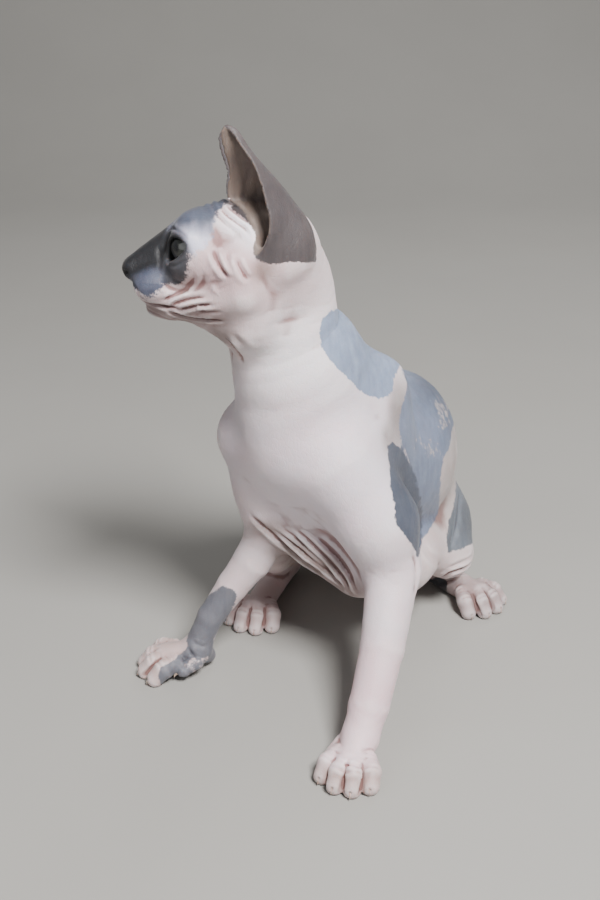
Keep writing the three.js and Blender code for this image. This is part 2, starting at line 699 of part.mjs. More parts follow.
// Tail
solids.tail = largest(beyond(region(vec(-70, 70, -2), vec(60, 185, 60), 7), ...CUT.tailRoot));

// Legs and feet
function leg(low, high, cuts, split, cell, footLow, footHigh, footCell) {
  const whole = region(low, high, cell).intersect(inner(cuts));
  const end = region(footLow, footHigh, footCell).intersect(inner(cuts));
  return [largest(before(whole, ...split)), largest(beyond(end, ...split))];
}
[solids.left_foreleg, solids.left_forepaw] = leg(
  vec(-30, -185, 0), vec(65, -60, 125), LEFT_FORE_SPACE, CUT.leftWrist, 8,
  vec(-30, -205, -2), vec(45, -130, 45), 5.3);
[solids.right_foreleg, solids.right_forepaw] = leg(
  vec(-110, -110, 0), vec(-5, -30, 125), RIGHT_FORE_SPACE, CUT.rightWrist, 6.8,
  vec(-130, -110, -2), vec(-60, -50, 40), 5.3);
[solids.left_hindleg, solids.left_hindpaw] = leg(
  vec(30, -50, 0), vec(115, 100, 110), LEFT_HIND_SPACE, CUT.leftHock, 10,
  vec(30, -45, -2), vec(130, 75, 30), 6.3);
[solids.right_hindleg, solids.right_hindpaw] = leg(
  vec(-75, -45, 0), vec(30, 100, 110), RIGHT_HIND_SPACE, CUT.rightHock, 10,
  vec(-85, -60, -2), vec(10, 75, 30), 6.3);

// Colours of the model's finishes
const finish = (color, roughness) => new THREE.MeshStandardMaterial({ color, roughness, metalness: 0 });
const PALE_SKIN = finish(0xe3d4d4, 0.65);
const EAR_SKIN = finish(0x6b5c5c, 0.65);
const EYE_GLASS = finish(0x1d1a16, 0.1);
const finishOf = (name) => {
  if (name.endsWith('ear')) return EAR_SKIN;
  return name.endsWith('eye') ? EYE_GLASS : PALE_SKIN;
};

const group = new THREE.Group();
for (const [name, body] of Object.entries(solids)) {
  const mesh = body.getMesh();
  const geometry = new THREE.BufferGeometry();
  geometry.setAttribute('position', new THREE.BufferAttribute(mesh.vertProperties, 3));
  geometry.setIndex(new THREE.BufferAttribute(mesh.triVerts, 1));
  geometry.computeVertexNormals();
  const piece = new THREE.Mesh(geometry, finishOf(name));
  piece.name = name;
  piece.position.set(-CENTRE.x, -CENTRE.y, -FLOOR_SINK);
  group.add(piece);
}

export default group;
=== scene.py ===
"""A life-size sphynx cat, sitting with its head turned to its right, on a plain pale floor."""
import math
from concurrent.futures import ThreadPoolExecutor

import bmesh
import bpy
import numpy as np
from bpy.props import FloatProperty, FloatVectorProperty, IntProperty, PointerProperty
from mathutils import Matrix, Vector
from mathutils.bvhtree import BVHTree


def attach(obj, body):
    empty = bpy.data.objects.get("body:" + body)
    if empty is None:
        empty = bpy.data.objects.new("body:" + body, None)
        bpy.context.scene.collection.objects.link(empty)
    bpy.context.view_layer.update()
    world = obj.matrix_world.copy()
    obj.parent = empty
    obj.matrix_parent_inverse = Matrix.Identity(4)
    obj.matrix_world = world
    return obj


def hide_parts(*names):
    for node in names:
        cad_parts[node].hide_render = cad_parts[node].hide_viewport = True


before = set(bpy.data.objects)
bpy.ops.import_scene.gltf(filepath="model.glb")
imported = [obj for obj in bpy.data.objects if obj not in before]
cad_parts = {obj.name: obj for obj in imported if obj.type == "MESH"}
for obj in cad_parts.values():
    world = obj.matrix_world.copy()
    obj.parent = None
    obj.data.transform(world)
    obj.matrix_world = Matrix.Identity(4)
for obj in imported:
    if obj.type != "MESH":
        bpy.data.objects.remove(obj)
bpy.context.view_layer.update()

bl_info = {
    "name": "Sitting sphynx cat",
    "version": (1, 0, 0),
    "blender": (4, 5, 0),
    "location": "View3D > Sidebar > Sphynx cat",
    "description": "Builds a life-size sphynx cat with wrinkled, patched skin",
    "category": "Add Mesh",
}

# The body is worked out in millimetres in its own frame, and moved so that it stands on the floor's centre
CENTRE = np.array([-1.0, -12.5, 0.0])
FLOOR_SINK = 1.2
FORE_TOE_RADIUS = 5.7
HIND_TOE_RADIUS = 5.4


def vec(x, y, z):
    return np.array([x, y, z], dtype=float)


def unit(v):
    return v / np.linalg.norm(v)


def turned(v, axis, angle):
    """A vector turned about a unit axis."""
    return (v * math.cos(angle) + np.cross(axis, v) * math.sin(angle)
            + axis * np.dot(axis, v) * (1 - math.cos(angle)))


class Frame:
    """Forward, left and up directions at a point of the body, for a turn to the right of -Y."""

    def __init__(self, origin, turn=0.0, pitch=0.0, roll=0.0):
        t = math.radians(turn)
        self.origin = origin
        flat = vec(-math.sin(t), -math.cos(t), 0)
        left = unit(np.cross(vec(0, 0, 1), flat))
        self.forward = turned(flat, left, -math.radians(pitch))
        self.left = turned(left, self.forward, math.radians(roll))
        self.up = np.cross(self.forward, self.left)

    def place(self, x, y, z):
        return self.origin + self.forward * x + self.left * y + self.up * z

    def local(self, points):
        q = points - self.origin
        return np.stack([q @ self.forward, q @ self.left, q @ self.up], axis=1)


# A distance in millimetres that is past every blend
FAR_AWAY = 60.0


def blend(a, b, k):
    """Smooth union of two distances, with a blend of width k."""
    h = np.maximum(k - np.abs(a - b), 0) / k
    return np.minimum(a, b) - h * h * k * 0.25


def carve(a, b, k):
    """Smooth cut of the second shape out of the first."""
    return -blend(-a, b, k)


class Shape:
    """One muscle or bone: its distance, its blend width and its box."""

    def __init__(self, distance, k, low, high):
        self.distance, self.k, self.low, self.high = distance, k, low, high


def cone(a, ra, b, rb, k=8.0):
    """A muscle with round ends."""
    length = max(np.linalg.norm(b - a), 1e-6)
    axis = (b - a) / length
    slope = min(max((ra - rb) / length, -0.99), 0.99)
    lean = math.sqrt(1 - slope * slope)

    def distance(p):
        q = p - a
        y = q @ axis
        x = np.sqrt(np.maximum(np.einsum("ij,ij->i", q, q) - y * y, 0))
        along = y * lean - x * slope
        return np.where(along < 0, np.hypot(x, y) - ra,
                        np.where(along > length * lean, np.hypot(x, y - length) - rb,
                                 x * lean + y * slope - ra))

    return Shape(distance, k, np.minimum(a - ra, b - rb), np.maximum(a + ra, b + rb))


def egg(frm, at, sizes, k=8.0, tilt=0.0):
    """An ellipsoid with its half sizes along the frame's forward, left and up."""
    centre = frm.place(*at)
    forward = turned(frm.forward, frm.left, math.radians(tilt))
    up = turned(frm.up, frm.left, math.radians(tilt))
    turn = np.stack([forward, frm.left, up], axis=1)
    size = np.array(sizes, dtype=float)

    def distance(p):
        q = ((p - centre) @ turn) / size
        near = np.linalg.norm(q, axis=1)
        steep = np.maximum(np.linalg.norm(q / size, axis=1), 1e-9)
        return near * (near - 1) / steep

    reach = size.max()
    return Shape(distance, k, centre - reach, centre + reach)


def smooth_path(points, count):
    """Points along a centripetal Catmull-Rom curve."""
    pts = [np.asarray(p, dtype=float) for p in points]
    pts = [2 * pts[0] - pts[1]] + pts + [2 * pts[-1] - pts[-2]]
    spans = len(pts) - 3
    out = []
    for n in range(count + 1):
        t = n / count * spans
        i = min(int(t), spans - 1)
        w = t - i
        x0, x1, x2, x3 = pts[i:i + 4]
        d0, d1, d2 = [max(np.linalg.norm(b - a) ** 0.5, 1e-4)
                      for a, b in ((x0, x1), (x1, x2), (x2, x3))]
        t1 = ((x1 - x0) / d0 - (x2 - x0) / (d0 + d1) + (x2 - x1) / d1) * d1
        t2 = ((x2 - x1) / d1 - (x3 - x1) / (d1 + d2) + (x3 - x2) / d2) * d1
        square, cube = -3 * x1 + 3 * x2 - 2 * t1 - t2, 2 * x1 - 2 * x2 + t1 + t2
        out.append(x1 + t1 * w + square * w ** 2 + cube * w ** 3)
    return np.array(out)


def closed_outline(corners, count):
    """Points of a plane along a smooth closed line through some corners."""
    return smooth_path([(a, b, 0) for a, b in corners + corners[:1]], count)[:-1, :2]


def sweep(stations, k=12.0, steps=4):
    """A bent body through stations of point, half width, half depth and turn of its side."""
    spans = len(stations) - 1
    path = smooth_path([s[0] for s in stations], spans * steps)
    rings = []
    for n, point in enumerate(path):
        i = min(n // steps, spans - 1)
        t = n / steps - i
        ease = t * t * (3 - 2 * t)
        wide, deep, turn = [stations[i][c] + (stations[i + 1][c] - stations[i][c]) * ease
                            for c in (1, 2, 3)]
        turn = math.radians(turn)
        rings.append((point, wide, deep, vec(math.cos(turn), -math.sin(turn), 0)))

    def distance(p):
        least = np.full(len(p), 1e9)
        for (pa, wa, da, sa), (pb, wb, db, sb) in zip(rings, rings[1:]):
            axis = pb - pa
            q = p - pa
            t = np.clip(q @ axis / (axis @ axis), 0, 1)
            q = q - t[:, None] * axis
            wide, deep = wa + (wb - wa) * t, da + (db - da) * t
            across = np.einsum("ij,ij->i", q[:, :2], (sa + t[:, None] * (sb - sa))[:, :2])
            rest = np.maximum(np.einsum("ij,ij->i", q, q) - across ** 2, 0)
            ratio = np.sqrt((across / wide) ** 2 + rest / deep ** 2)
            least = np.minimum(least, (ratio - 1) * np.minimum(wide, deep))
        return least

    reach = [max(r[1], r[2]) for r in rings]
    low = np.min([r[0] - m for r, m in zip(rings, reach)], axis=0)
    high = np.max([r[0] + m for r, m in zip(rings, reach)], axis=0)
    return Shape(distance, k, low, high)


def limb(stations, k=8.0, joint=None):
    """A round limb through stations of point and radius; its joints may blend less than its root."""
    pairs = list(zip(stations, stations[1:]))
    return [cone(a[0], a[1], b[0], b[1], joint if joint and n else k) for n, (a, b) in enumerate(pairs)]


# The frames of the hips, the chest and the head
HIPS = Frame(vec(28, 60, 64), 2)
CHEST = Frame(vec(-8, -62, 150), 42)
HEAD = Frame(vec(-47, -97, 272), 85, 0, 13)

# The eyes: a ball with a raised cornea, whose reach is in radians
EYE_RADIUS = 10.5
CORNEA_RISE = 0.9
CORNEA_REACH = 0.52
# Their place in the head, degrees that they look outward, the lids' thickness and how far they are sunk
EYE = {"x": 27.0, "y": 15.5, "z": 0.0, "outward": 27.0, "lid": 1.4, "sunk": 1.3}
# The opening between the lids, seen along the gaze
EYE_OPENING = [(-7.4, -5.4), (-5.2, 1.2), (-0.5, 4.8), (4.8, 4.4), (8.5, 1.0), (4.7, -3.7), (-0.4, -6.2),
               (-4.9, -6.8)]


def eye_frame(side):
    """The frame of one eye: forward is its gaze."""
    out = math.radians(EYE["outward"]) * side
    frm = Frame(HEAD.place(EYE["x"], side * EYE["y"], EYE["z"]))
    frm.forward = HEAD.forward * math.cos(out) + HEAD.left * math.sin(out)
    frm.left = unit(np.cross(HEAD.up, frm.forward))
    frm.up = np.cross(frm.forward, frm.left)
    return frm


# The loose skin under the breast, from the right elbow to the left elbow and the left groin
LOOSE_SKIN = [(vec(-31, -66, 101), 13), (vec(-8, -68, 86), 14), (vec(16, -74, 73), 15),
              (vec(40, -40, 60), 20), (vec(58, -10, 54), 19)]


def trunk_shapes():
    """The trunk from the neck's base to the rump, with breast, shoulder blades, loins and loose skin."""
    return [
        sweep([
            (vec(-16, -73, 192), 30, 33, 42),
            (vec(-10, -62, 162), 40, 46, 42),
            (vec(3, -46, 130), 43, 51, 38),
            (vec(23, -16, 112), 43, 51, 22),
            (vec(38, 17, 105), 42.5, 53, 6),
            (vec(36, 48, 82), 42, 48, 0),
            (vec(29, 72, 52), 38, 40, 0),
        ], 14),
        egg(CHEST, (30, 0, 6), (19, 22, 30), 16, 20),
        *[egg(CHEST, (-20, side * 22, 16), (24, 14, 30), 18, -18) for side in (1, -1)],
        egg(HIPS, (-12, 0, -28), (30, 34, 35.5), 14),
        *limb(LOOSE_SKIN[:3], 12),
        *limb(LOOSE_SKIN[2:], 14),
    ]


def neck_shapes():
    """The neck from behind the skull to between the shoulders, and the throat."""
    return [
        sweep([
            (HEAD.place(-12, 0, -6), 24.5, 26, 80),
            (vec(-31, -87, 244), 25, 29.5, 66),
            (vec(-28, -84, 220), 27, 31, 54),
            (vec(-20, -77, 196), 33, 37, 44),
        ], 12),
        cone(HEAD.place(17, 0, -29), 12.6, HEAD.place(0, 0, -36), 18, 8),
    ]


def skull_shapes():
    """Skull, muzzle, brows, eyes, cheeks, jaw and the bowls that the ears grow from."""
    at = HEAD.place
    shapes = [
        egg(HEAD, (-3, 0, -0.3), (27, 24, 23.8), 8),
        egg(HEAD, (14, 0, 4), (19, 19, 16.3), 8),
        cone(at(26, 0, 7), 9.6, at(50, 0, -6), 6.4, 7),
        egg(HEAD, (56.6, 0, -10), (5.4, 6.6, 6), 4),
        egg(HEAD, (36, 0, -13), (17, 13, 13), 8),
        cone(at(45, 0, -28.6), 6.2, at(18, 0, -26), 13, 7),
        egg(HEAD, (4, 0, -20), (22, 20, 18), 10),
    ]
    for side in (1, -1):
        shapes += [
            egg(HEAD, (25, side * 11.5, 10), (9.5, 8.5, 7), 6),
            egg(HEAD, (EYE["x"], side * EYE["y"], EYE["z"]), [EYE_RADIUS + EYE["lid"]] * 3, 4),
            egg(HEAD, (46, side * 7.5, -18.5), (10.5, 9, 8.8), 5),
            cone(at(31, side * 15, -8), 7, at(6, side * 22, -9), 9.5, 8),
            cone(at(38, side * 6, -28), 5, at(4, side * 18, -22), 10, 8),
            egg(HEAD, (-17, side * 19, 2), (14, 9, 17), 8),
        ]
    return shapes


# Legs: stations of point and radius, and the foot's wrist or heel, heading, size and the thumb's side
LEFT_FORE = {
    "arm": [(vec(-2, -92, 152), 24), (vec(23, -95, 114), 20), (vec(32, -97, 86), 15.5)],
    "forearm": [(vec(32.5, -98, 85), 15), (vec(25.5, -128, 53), 12.2), (vec(17.5, -149, 29), 11),
                (vec(13, -159, 17), 9.8)],
    "foot": {"wrist": vec(12, -160, 15), "heading": 19, "length": 34, "spread": 25,
             "toe": FORE_TOE_RADIUS, "thumb": -1},
}
RIGHT_FORE = {
    "arm": [(vec(-46, -62, 152), 21), (vec(-38, -60, 118), 17), (vec(-37, -60, 94), 14)],
    "forearm": [(vec(-37, -60.5, 91), 13.2), (vec(-48, -64, 71.5), 11.2), (vec(-60, -67, 56), 9.2),
                (vec(-73.5, -71.5, 37), 7.9), (vec(-81, -74, 20), 7.6)],
    "foot": {"wrist": vec(-82, -74, 14), "heading": 84, "length": 37, "spread": 26,
             "toe": FORE_TOE_RADIUS, "thumb": 1},
}
LEFT_HIND = {
    "thigh": [(vec(50, 54, 62), 31), (vec(64, 18, 54), 25), (vec(76, -5, 44), 15.5)],
    "shank": [(vec(75, -3, 40), 14), (vec(66, 24, 24), 11), (vec(61, 44, 14), 9)],
    "foot": {"wrist": vec(61, 44, 10), "heading": -37, "length": 77, "spread": 27,
             "toe": HIND_TOE_RADIUS, "thumb": 0},
}
RIGHT_HIND = {
    "thigh": [(vec(7, 54, 62), 30), (vec(-18, 16, 57), 23), (vec(-36, -10, 50), 14.5)],
    "shank": [(vec(-37, -9, 46), 13), (vec(-34, 14, 28), 10.5), (vec(-30, 36, 14), 9)],
    "foot": {"wrist": vec(-30, 37, 10), "heading": 18, "length": 80, "spread": 27,
             "toe": HIND_TOE_RADIUS, "thumb": 0},
}
LEGS = (LEFT_FORE, RIGHT_FORE, LEFT_HIND, RIGHT_HIND)
TAIL = [(vec(26, 92, 30), 15), (vec(25, 112, 15), 11), (vec(20, 136, 9), 8.6), (vec(4, 156, 7.2), 7.4),
        (vec(-20, 160, 6), 6.2), (vec(-38, 146, 5), 5.2), (vec(-42, 122, 4.2), 4.4),
        (vec(-32, 104, 3.6), 3.6)]
TAIL_STEPS = 3
# For each toe: its place across the foot, as a share of the spread, and its reach beside the middle ones
TOES = [(-0.5, -5.5), (-0.18, 0.0), (0.18, 0.0), (0.5, -5.5)]


def tail_stations():
    """The tail's stations, with as many more between each two as make it bend smoothly."""
    spans = len(TAIL) - 1
    path = smooth_path([point for point, _ in TAIL], TAIL_STEPS * spans)
    radii = np.interp(np.arange(len(path)) / TAIL_STEPS, np.arange(spans + 1), [r for _, r in TAIL])
    return list(zip(path, radii))


def foot_frame(foot):
    """A foot's frame, on the floor under its wrist or heel."""
    wrist = foot["wrist"]
    return Frame(vec(wrist[0], wrist[1], 0), foot["heading"])


def toe_points(foot):
    """For each toe of a foot: its root, its knuckle and its tip."""
    frm = foot_frame(foot)
    toe, length, spread = foot["toe"], foot["length"], foot["spread"]
    ball = length - 17
    found = []
    for across, reach in TOES:
        fan = across * spread
        tip = length - toe + reach
        found.append((frm.place(ball - 4 + reach * 0.4, fan * 0.66, 12),
                      frm.place(tip - 5, fan * 0.94, 10.2), frm.place(tip, fan * 1.04, toe * 0.92)))
    return found


def foot_shapes(foot):
    """A foot: its sole, four toes that fan out, and on a forefoot the thumb's pad."""
    frm = foot_frame(foot)
    toe, thumb, spread = foot["toe"], foot["thumb"], foot["spread"]
    ball = foot["length"] - 17
    hind = thumb == 0
    shapes = [
        cone(frm.place(0, 0, foot["wrist"][2]), 9 if hind else 8.6, frm.place(ball, 0, 9.4), 8.4, 6),
        egg(frm, (ball - 1, 0, 8.4), (10.5, spread * 0.45, 7.2), 5),
    ]
    if hind:
        shapes.append(egg(frm, (-7, 0, 10), (9, 8, 10.5), 6))
    for root, knuckle, tip in toe_points(foot):
        shapes.append(cone(root, toe * 0.86, knuckle, toe * 0.98, 1.8))
        shapes.append(cone(knuckle, toe * 0.98, tip, toe * 0.9, 1.2))
    if thumb:
        shapes.append(cone(frm.place(1, thumb * 8.5, 12), 4.6, frm.place(9, thumb * 12.5, 9), 3.9, 2))
        shapes.append(egg(frm, (-6, -thumb * 3, 9), (5, 5, 5), 3))
    return shapes


def toe_gaps(foot):
    """The clefts between neighbouring toes, and the slits that the claws leave by."""
    cuts = []
    toe = foot["toe"]
    toes = toe_points(foot)
    lift = vec(0, 0, toe)
    for one, two in zip(toes, toes[1:]):
        root, knuckle, tip = [(a + b) / 2 for a, b in zip(one, two)]
        out = unit((tip - knuckle) * (1, 1, 0))
        start = root + (knuckle - root) * 0.75
        cuts.append(cone(start + lift * 1.15, 0.3, knuckle + lift * 0.85, 0.7, 1.6))
        cuts.append(cone(knuckle + lift * 0.85, 0.7, tip + out * toe * 0.7, 1.3, 1.6))
    for _, knuckle, tip in toes:
        out = unit((tip - knuckle) * (1, 1, 0))
        slit, end = tip + out * toe * 0.75 + vec(0, 0, 1.2), tip + out * toe * 1.2 + vec(0, 0, 0.6)
        cuts.append(cone(slit, 0.6, end, 0.95, 0.6))
    return cuts


def concha(side):
    """The hollow of an ear's root, down to its canal."""
    at = [HEAD.place(x, side * y, z)
          for x, y, z in ((-5, 29, 22), (-7.5, 28.5, 12), (-9.5, 27, 4), (-11, 21, -2))]
    return [cone(at[0], 7.5, at[1], 6.6, 3.0), cone(at[1], 6.6, at[2], 4.8, 3.0),
            cone(at[2], 4.8, at[3], 2.6, 1.6)]


# An ear's front edge, its back and its outer edge, from root to tip, in the head's frame
EAR_FRONT = [(-6, 22, -4), (-5, 21.5, 3), (-4, 21, 11), (1, 17, 18), (7.5, 13.5, 23), (8, 14.5, 28),
             (7.2, 19, 36), (9.8, 26, 46), (10.8, 30, 53.5)]
EAR_BACK = [(-29, 16, -9), (-30.8, 17, -2), (-29.5, 16.8, 7), (-25.5, 16.5, 15), (-20, 17, 23),
            (-13.5, 19.5, 30.5), (-5, 23.5, 39.5), (0.5, 27.5, 47), (5, 30.3, 54.4)]
EAR_OUTER = [(-7, 25, -6), (-8.6, 30, 1), (-10.2, 32.6, 7), (-10.6, 33.8, 13.5), (-9, 34, 20),
             (-7, 33.7, 28.5), (-3.5, 33.2, 38.5), (1.3, 32.6, 46), (7, 31.6, 54.2)]
EAR_TIP = (9.3, 31, 56.3)


class Ear:
    """The ear's scoop: a curved sheet, s from root to tip and u from its front edge to its outer edge."""

    def __init__(self, side, rows=60, columns=28):
        curves = [smooth_path([HEAD.place(x, side * y, z) for x, y, z in edge + [EAR_TIP]], rows)
                  for edge in (EAR_FRONT, EAR_BACK, EAR_OUTER)]
        u = np.linspace(0, 1, columns + 1)[None, :, None]
        front, back, outer = [c[:, None, :] for c in curves]
        grid = front * (1 - u) * (1 - 2 * u) + back * 4 * u * (1 - u) + outer * u * (2 * u - 1)
        grid = grid[:-1]
        self.points = grid.reshape(-1, 3)
        n = columns + 1
        self.faces = [(i * n + j, i * n + j + 1, (i + 1) * n + j + 1, (i + 1) * n + j)
                      for i in range(rows - 1) for j in range(columns)]
        s = np.repeat(np.arange(rows) / rows, n)
        uu = np.tile(np.linspace(0, 1, n), rows)
        edge = np.minimum(uu, 1 - uu)
        self.thick = (0.62 + 0.5 * np.clip(edge * 4, 0, 1) * (1 - 0.45 * s)
                      + 0.5 * np.clip(1 - s * 3, 0, 1))
        self.s, self.u = s, uu
        self.tree = BVHTree.FromPolygons([Vector(p) for p in self.points], self.faces)
        self.corners = np.array(self.faces)
        self.side = side
        self.low, self.high = self.points.min(axis=0) - 4, self.points.max(axis=0) + 4
        self.k = 3.2

    def find(self, p):
        """For each point: gap to the sheet, its s, u and half thickness there, and 1 inside the ear."""
        hits = [self.tree.find_nearest(Vector(q)) for q in p]
        if not hits:
            return np.zeros((0, 5))
        spot = np.array([h[0] for h in hits])
        normal = np.array([h[1] for h in hits])
        corners = self.corners[[h[2] for h in hits]]
        w = 1 / (np.linalg.norm(self.points[corners] - spot[:, None], axis=2) + 1e-3) ** 2
        w /= w.sum(axis=1)[:, None]
        mean = [np.einsum("ij,ij->i", w, v[corners]) for v in (self.s, self.u, self.thick)]
        inner = np.sign(np.einsum("ij,ij->i", p - spot, normal)) * self.side
        return np.stack([[h[3] for h in hits]] + mean + [inner], axis=1)

    def distance(self, p):
        found = self.find(p)
        return found[:, 0] - found[:, 3]


def all_shapes():
    """Every muscle and bone of the body."""
    shapes = (trunk_shapes() + neck_shapes() + skull_shapes() + limb(tail_stations(), 6, 1))
    for leg in (LEFT_FORE, RIGHT_FORE):
        shapes += limb(leg["arm"], 14) + limb(leg["forearm"], 6, 1.5) + foot_shapes(leg["foot"])
    for leg in (LEFT_HIND, RIGHT_HIND):
        shapes += limb(leg["thigh"], 14) + limb(leg["shank"], 6, 2) + foot_shapes(leg["foot"])
    return shapes


def outline_distance(points, outline):
    """Signed distance in a plane to a closed outline, negative inside."""
    corners = np.asarray(outline, dtype=float)
    best = np.full(len(points), 1e9)
    inside = np.zeros(len(points), dtype=bool)
    for a, b in zip(corners, np.roll(corners, -1, axis=0)):
        e = b - a
        w = points - a
        t = np.clip(w @ e / (e @ e), 0, 1)
        best = np.minimum(best, np.linalg.norm(w - t[:, None] * e, axis=1))
        hit = (a[1] > points[:, 1]) != (b[1] > points[:, 1])
        with np.errstate(divide="ignore", invalid="ignore"):
            cross = a[0] + (points[:, 1] - a[1]) / (b[1] - a[1]) * e[0]
        inside ^= hit & (points[:, 0] < cross)
    return np.where(inside, -best, best)


LID_OUTLINE = closed_outline(EYE_OPENING, 40)


def lid_opening(side):
    """The opening between one eye's lids, drawn out along its gaze."""
    frm = eye_frame(side)

    def distance(p):
        q = frm.local(p)
        plane = outline_distance(np.stack([side * q[:, 1], q[:, 2]], axis=1), LID_OUTLINE)
        return np.maximum(plane, 1.0 - q[:, 0])

    centre = frm.place(8, 0, 0)
    return Shape(distance, 1.4, centre - 13, centre + 13)


def eye_socket(side):
    """The ball-shaped room for one eye, just wider than the eye."""
    centre = eye_frame(side).place(-EYE["sunk"], 0, 0)
    room = EYE_RADIUS + 0.12
    return Shape(lambda p: np.linalg.norm(p - centre, axis=1) - room, 0.3, centre - 12, centre + 12)


def nostril(side):
    """One nostril, running inwards and apart."""
    outer, inner = HEAD.place(61.5, side * 2.6, -12.2), HEAD.place(58.5, side * 4.3, -11.4)
    return cone(outer, 1.35, inner, 0.9, 1.0)


class Cat:
    """The whole skin as one field of distances."""
    REACH = 24.0
    BLOCK = 2500

    def __init__(self):
        self.flesh = all_shapes()
        self.ears = [Ear(1), Ear(-1)]
        self.hollows = concha(1) + concha(-1)
        self.cuts = [f(side) for side in (1, -1) for f in (lid_opening, eye_socket, nostril)]
        for leg in LEGS:
            self.cuts += toe_gaps(leg["foot"])

    def near(self, p):
        """The field at points that lie close together."""
        low, high = p.min(axis=0), p.max(axis=0)

        def close(shapes, reach):
            return [s for s in shapes
                    if np.all(s.high + reach > low) and np.all(s.low - reach < high)]

        d = np.full(len(p), FAR_AWAY)
        for shape in close(self.flesh, self.REACH):
            d = blend(d, shape.distance(p), shape.k)
        for hollow in close(self.hollows, 4):
            d = carve(d, hollow.distance(p), hollow.k)
        for ear in close(self.ears, 0):
            i = np.nonzero(np.all((p > ear.low) & (p < ear.high), axis=1))[0]
            if len(i):
                d[i] = blend(d[i], ear.distance(p[i]), ear.k)
        for cut in close(self.cuts, 4):
            d = carve(d, cut.distance(p), cut.k)
        return carve(d, p[:, 2] - FLOOR_SINK, 1.2)

    def distance(self, p):
        """The field anywhere, sorted into blocks of near points that are worked out side by side."""
        if len(p) <= self.BLOCK:
            return self.near(p) if len(p) else np.zeros(0)
        order = np.argsort(np.floor(p / 26).astype(int) @ np.array([1, 97, 9409]), kind="stable")
        blocks = np.split(order, range(self.BLOCK, len(p), self.BLOCK))
        out = np.empty(len(p))
        with ThreadPoolExecutor(4) as pool:
            for block, d in zip(blocks, pool.map(lambda b: self.near(p[b]), blocks)):
                out[block] = d
        return out

    def slope(self, p, here=None, step=0.2):
        """The field at each point, and its direction of growth there."""
        here = self.distance(p) if here is None else here
        out = np.zeros_like(p)
        for n in range(3):
            q = p.copy()
            q[:, n] += step
            out[:, n] = (self.distance(q) - here) / step
        return here, out


# The camera stands where the photograph's did: 0.7 m away, looking 25 degrees down
CAMERA = vec(-20, -700, 440)
CAMERA_DOWN = math.radians(25)
CAMERA_LENS = 49.4
SENSOR = 36.0
IMAGE = (600, 900)
FOCAL = CAMERA_LENS / SENSOR * IMAGE[1]


def pictured(p):
    """Where the camera sees each point, in image pixels, and how far away it is."""
    q = p - CAMERA
    c, s = math.cos(CAMERA_DOWN), math.sin(CAMERA_DOWN)
    depth = q[:, 1] * c - q[:, 2] * s
    up = q[:, 1] * s + q[:, 2] * c
    across, down = IMAGE[0] / 2 + FOCAL * q[:, 0] / depth, IMAGE[1] / 2 - FOCAL * up / depth
    return np.stack([across, down], axis=1), depth


def seen_on(cat, pixels):
    """The points of the skin that the camera sees at some image pixels."""
    pixels = np.asarray(pixels, dtype=float)
    c, s = math.cos(CAMERA_DOWN), math.sin(CAMERA_DOWN)
    dx, dy = (pixels[:, 0] - IMAGE[0] / 2) / FOCAL, (IMAGE[1] / 2 - pixels[:, 1]) / FOCAL
    rays = np.stack([dx, c + s * dy, -s + c * dy], axis=1)
    rays /= np.linalg.norm(rays, axis=1)[:, None]
    far = np.full(len(pixels), 430.0)
    closest = np.full(len(pixels), 1e9)
    best = far.copy()
    for _ in range(90):
        d = cat.distance(CAMERA + rays * far[:, None])
        nearer = d < closest
        closest[nearer], best[nearer] = d[nearer], far[nearer]
        far = far + np.clip(d * 0.7, 0.0, 12.0) + np.where(d > 0.02, 0.02, 0)
    return CAMERA + rays * best[:, None]


def mirrored(p):
    """The same place on the other side of the head."""
    q = HEAD.local(p)
    return HEAD.origin + q[:, :1] * HEAD.forward - q[:, 1:2] * HEAD.left + q[:, 2:] * HEAD.up


def on_near_side(p):
    """Points of the head's far side are moved to the side that the camera sees."""
    far = HEAD.local(p)[:, 1] < 0
    out = p.copy()
    out[far] = mirrored(p[far])
    return out


def noise(p, scale, seed=0):
    """Smooth random values between -1 and 1, one bump every `scale` millimetres."""
    q = p / scale + seed * 17.31
    cell = np.floor(q).astype(np.int64)
    f = q - cell
    f = f * f * (3 - 2 * f)
    total = np.zeros(len(p))
    for i in (0, 1):
        for j in (0, 1):
            for k in (0, 1):
                c = cell + (i, j, k)
                h = (c[:, 0] * 73856093) ^ (c[:, 1] * 19349663) ^ (c[:, 2] * 83492791)
                h = (h ^ (h >> 13)) * 1274126177 & 0x7FFFFFFF
                w = [f[:, n] if far else 1 - f[:, n] for n, far in enumerate((i, j, k))]
                total += w[0] * w[1] * w[2] * (h / 0x3FFFFFFF - 1)
    return total


def path_distance(p, path):
    """Distance from each point to a path, and how far along the path that is, from 0 to 1."""
    best = np.full(len(p), 1e9)
    along = np.zeros(len(p))
    lengths = np.linalg.norm(np.diff(path, axis=0), axis=1)
    starts = np.concatenate([[0], np.cumsum(lengths)])
    for n, (a, b) in enumerate(zip(path, path[1:])):
        e = b - a
        t = np.clip((p - a) @ e / max(e @ e, 1e-9), 0, 1)
        d = np.linalg.norm(p - a - t[:, None] * e, axis=1)
        near = d < best
        best[near] = d[near]
        along[near] = (starts[n] + t[near] * lengths[n]) / starts[-1]
    return best, along


def fold_profile(d, width, ridge):
    """A crease of depth one with raised skin beside it."""
    return -np.exp(-(d / width) ** 2) + ridge * np.exp(-((d - width * 2.1) / (width * 1.15)) ** 2)


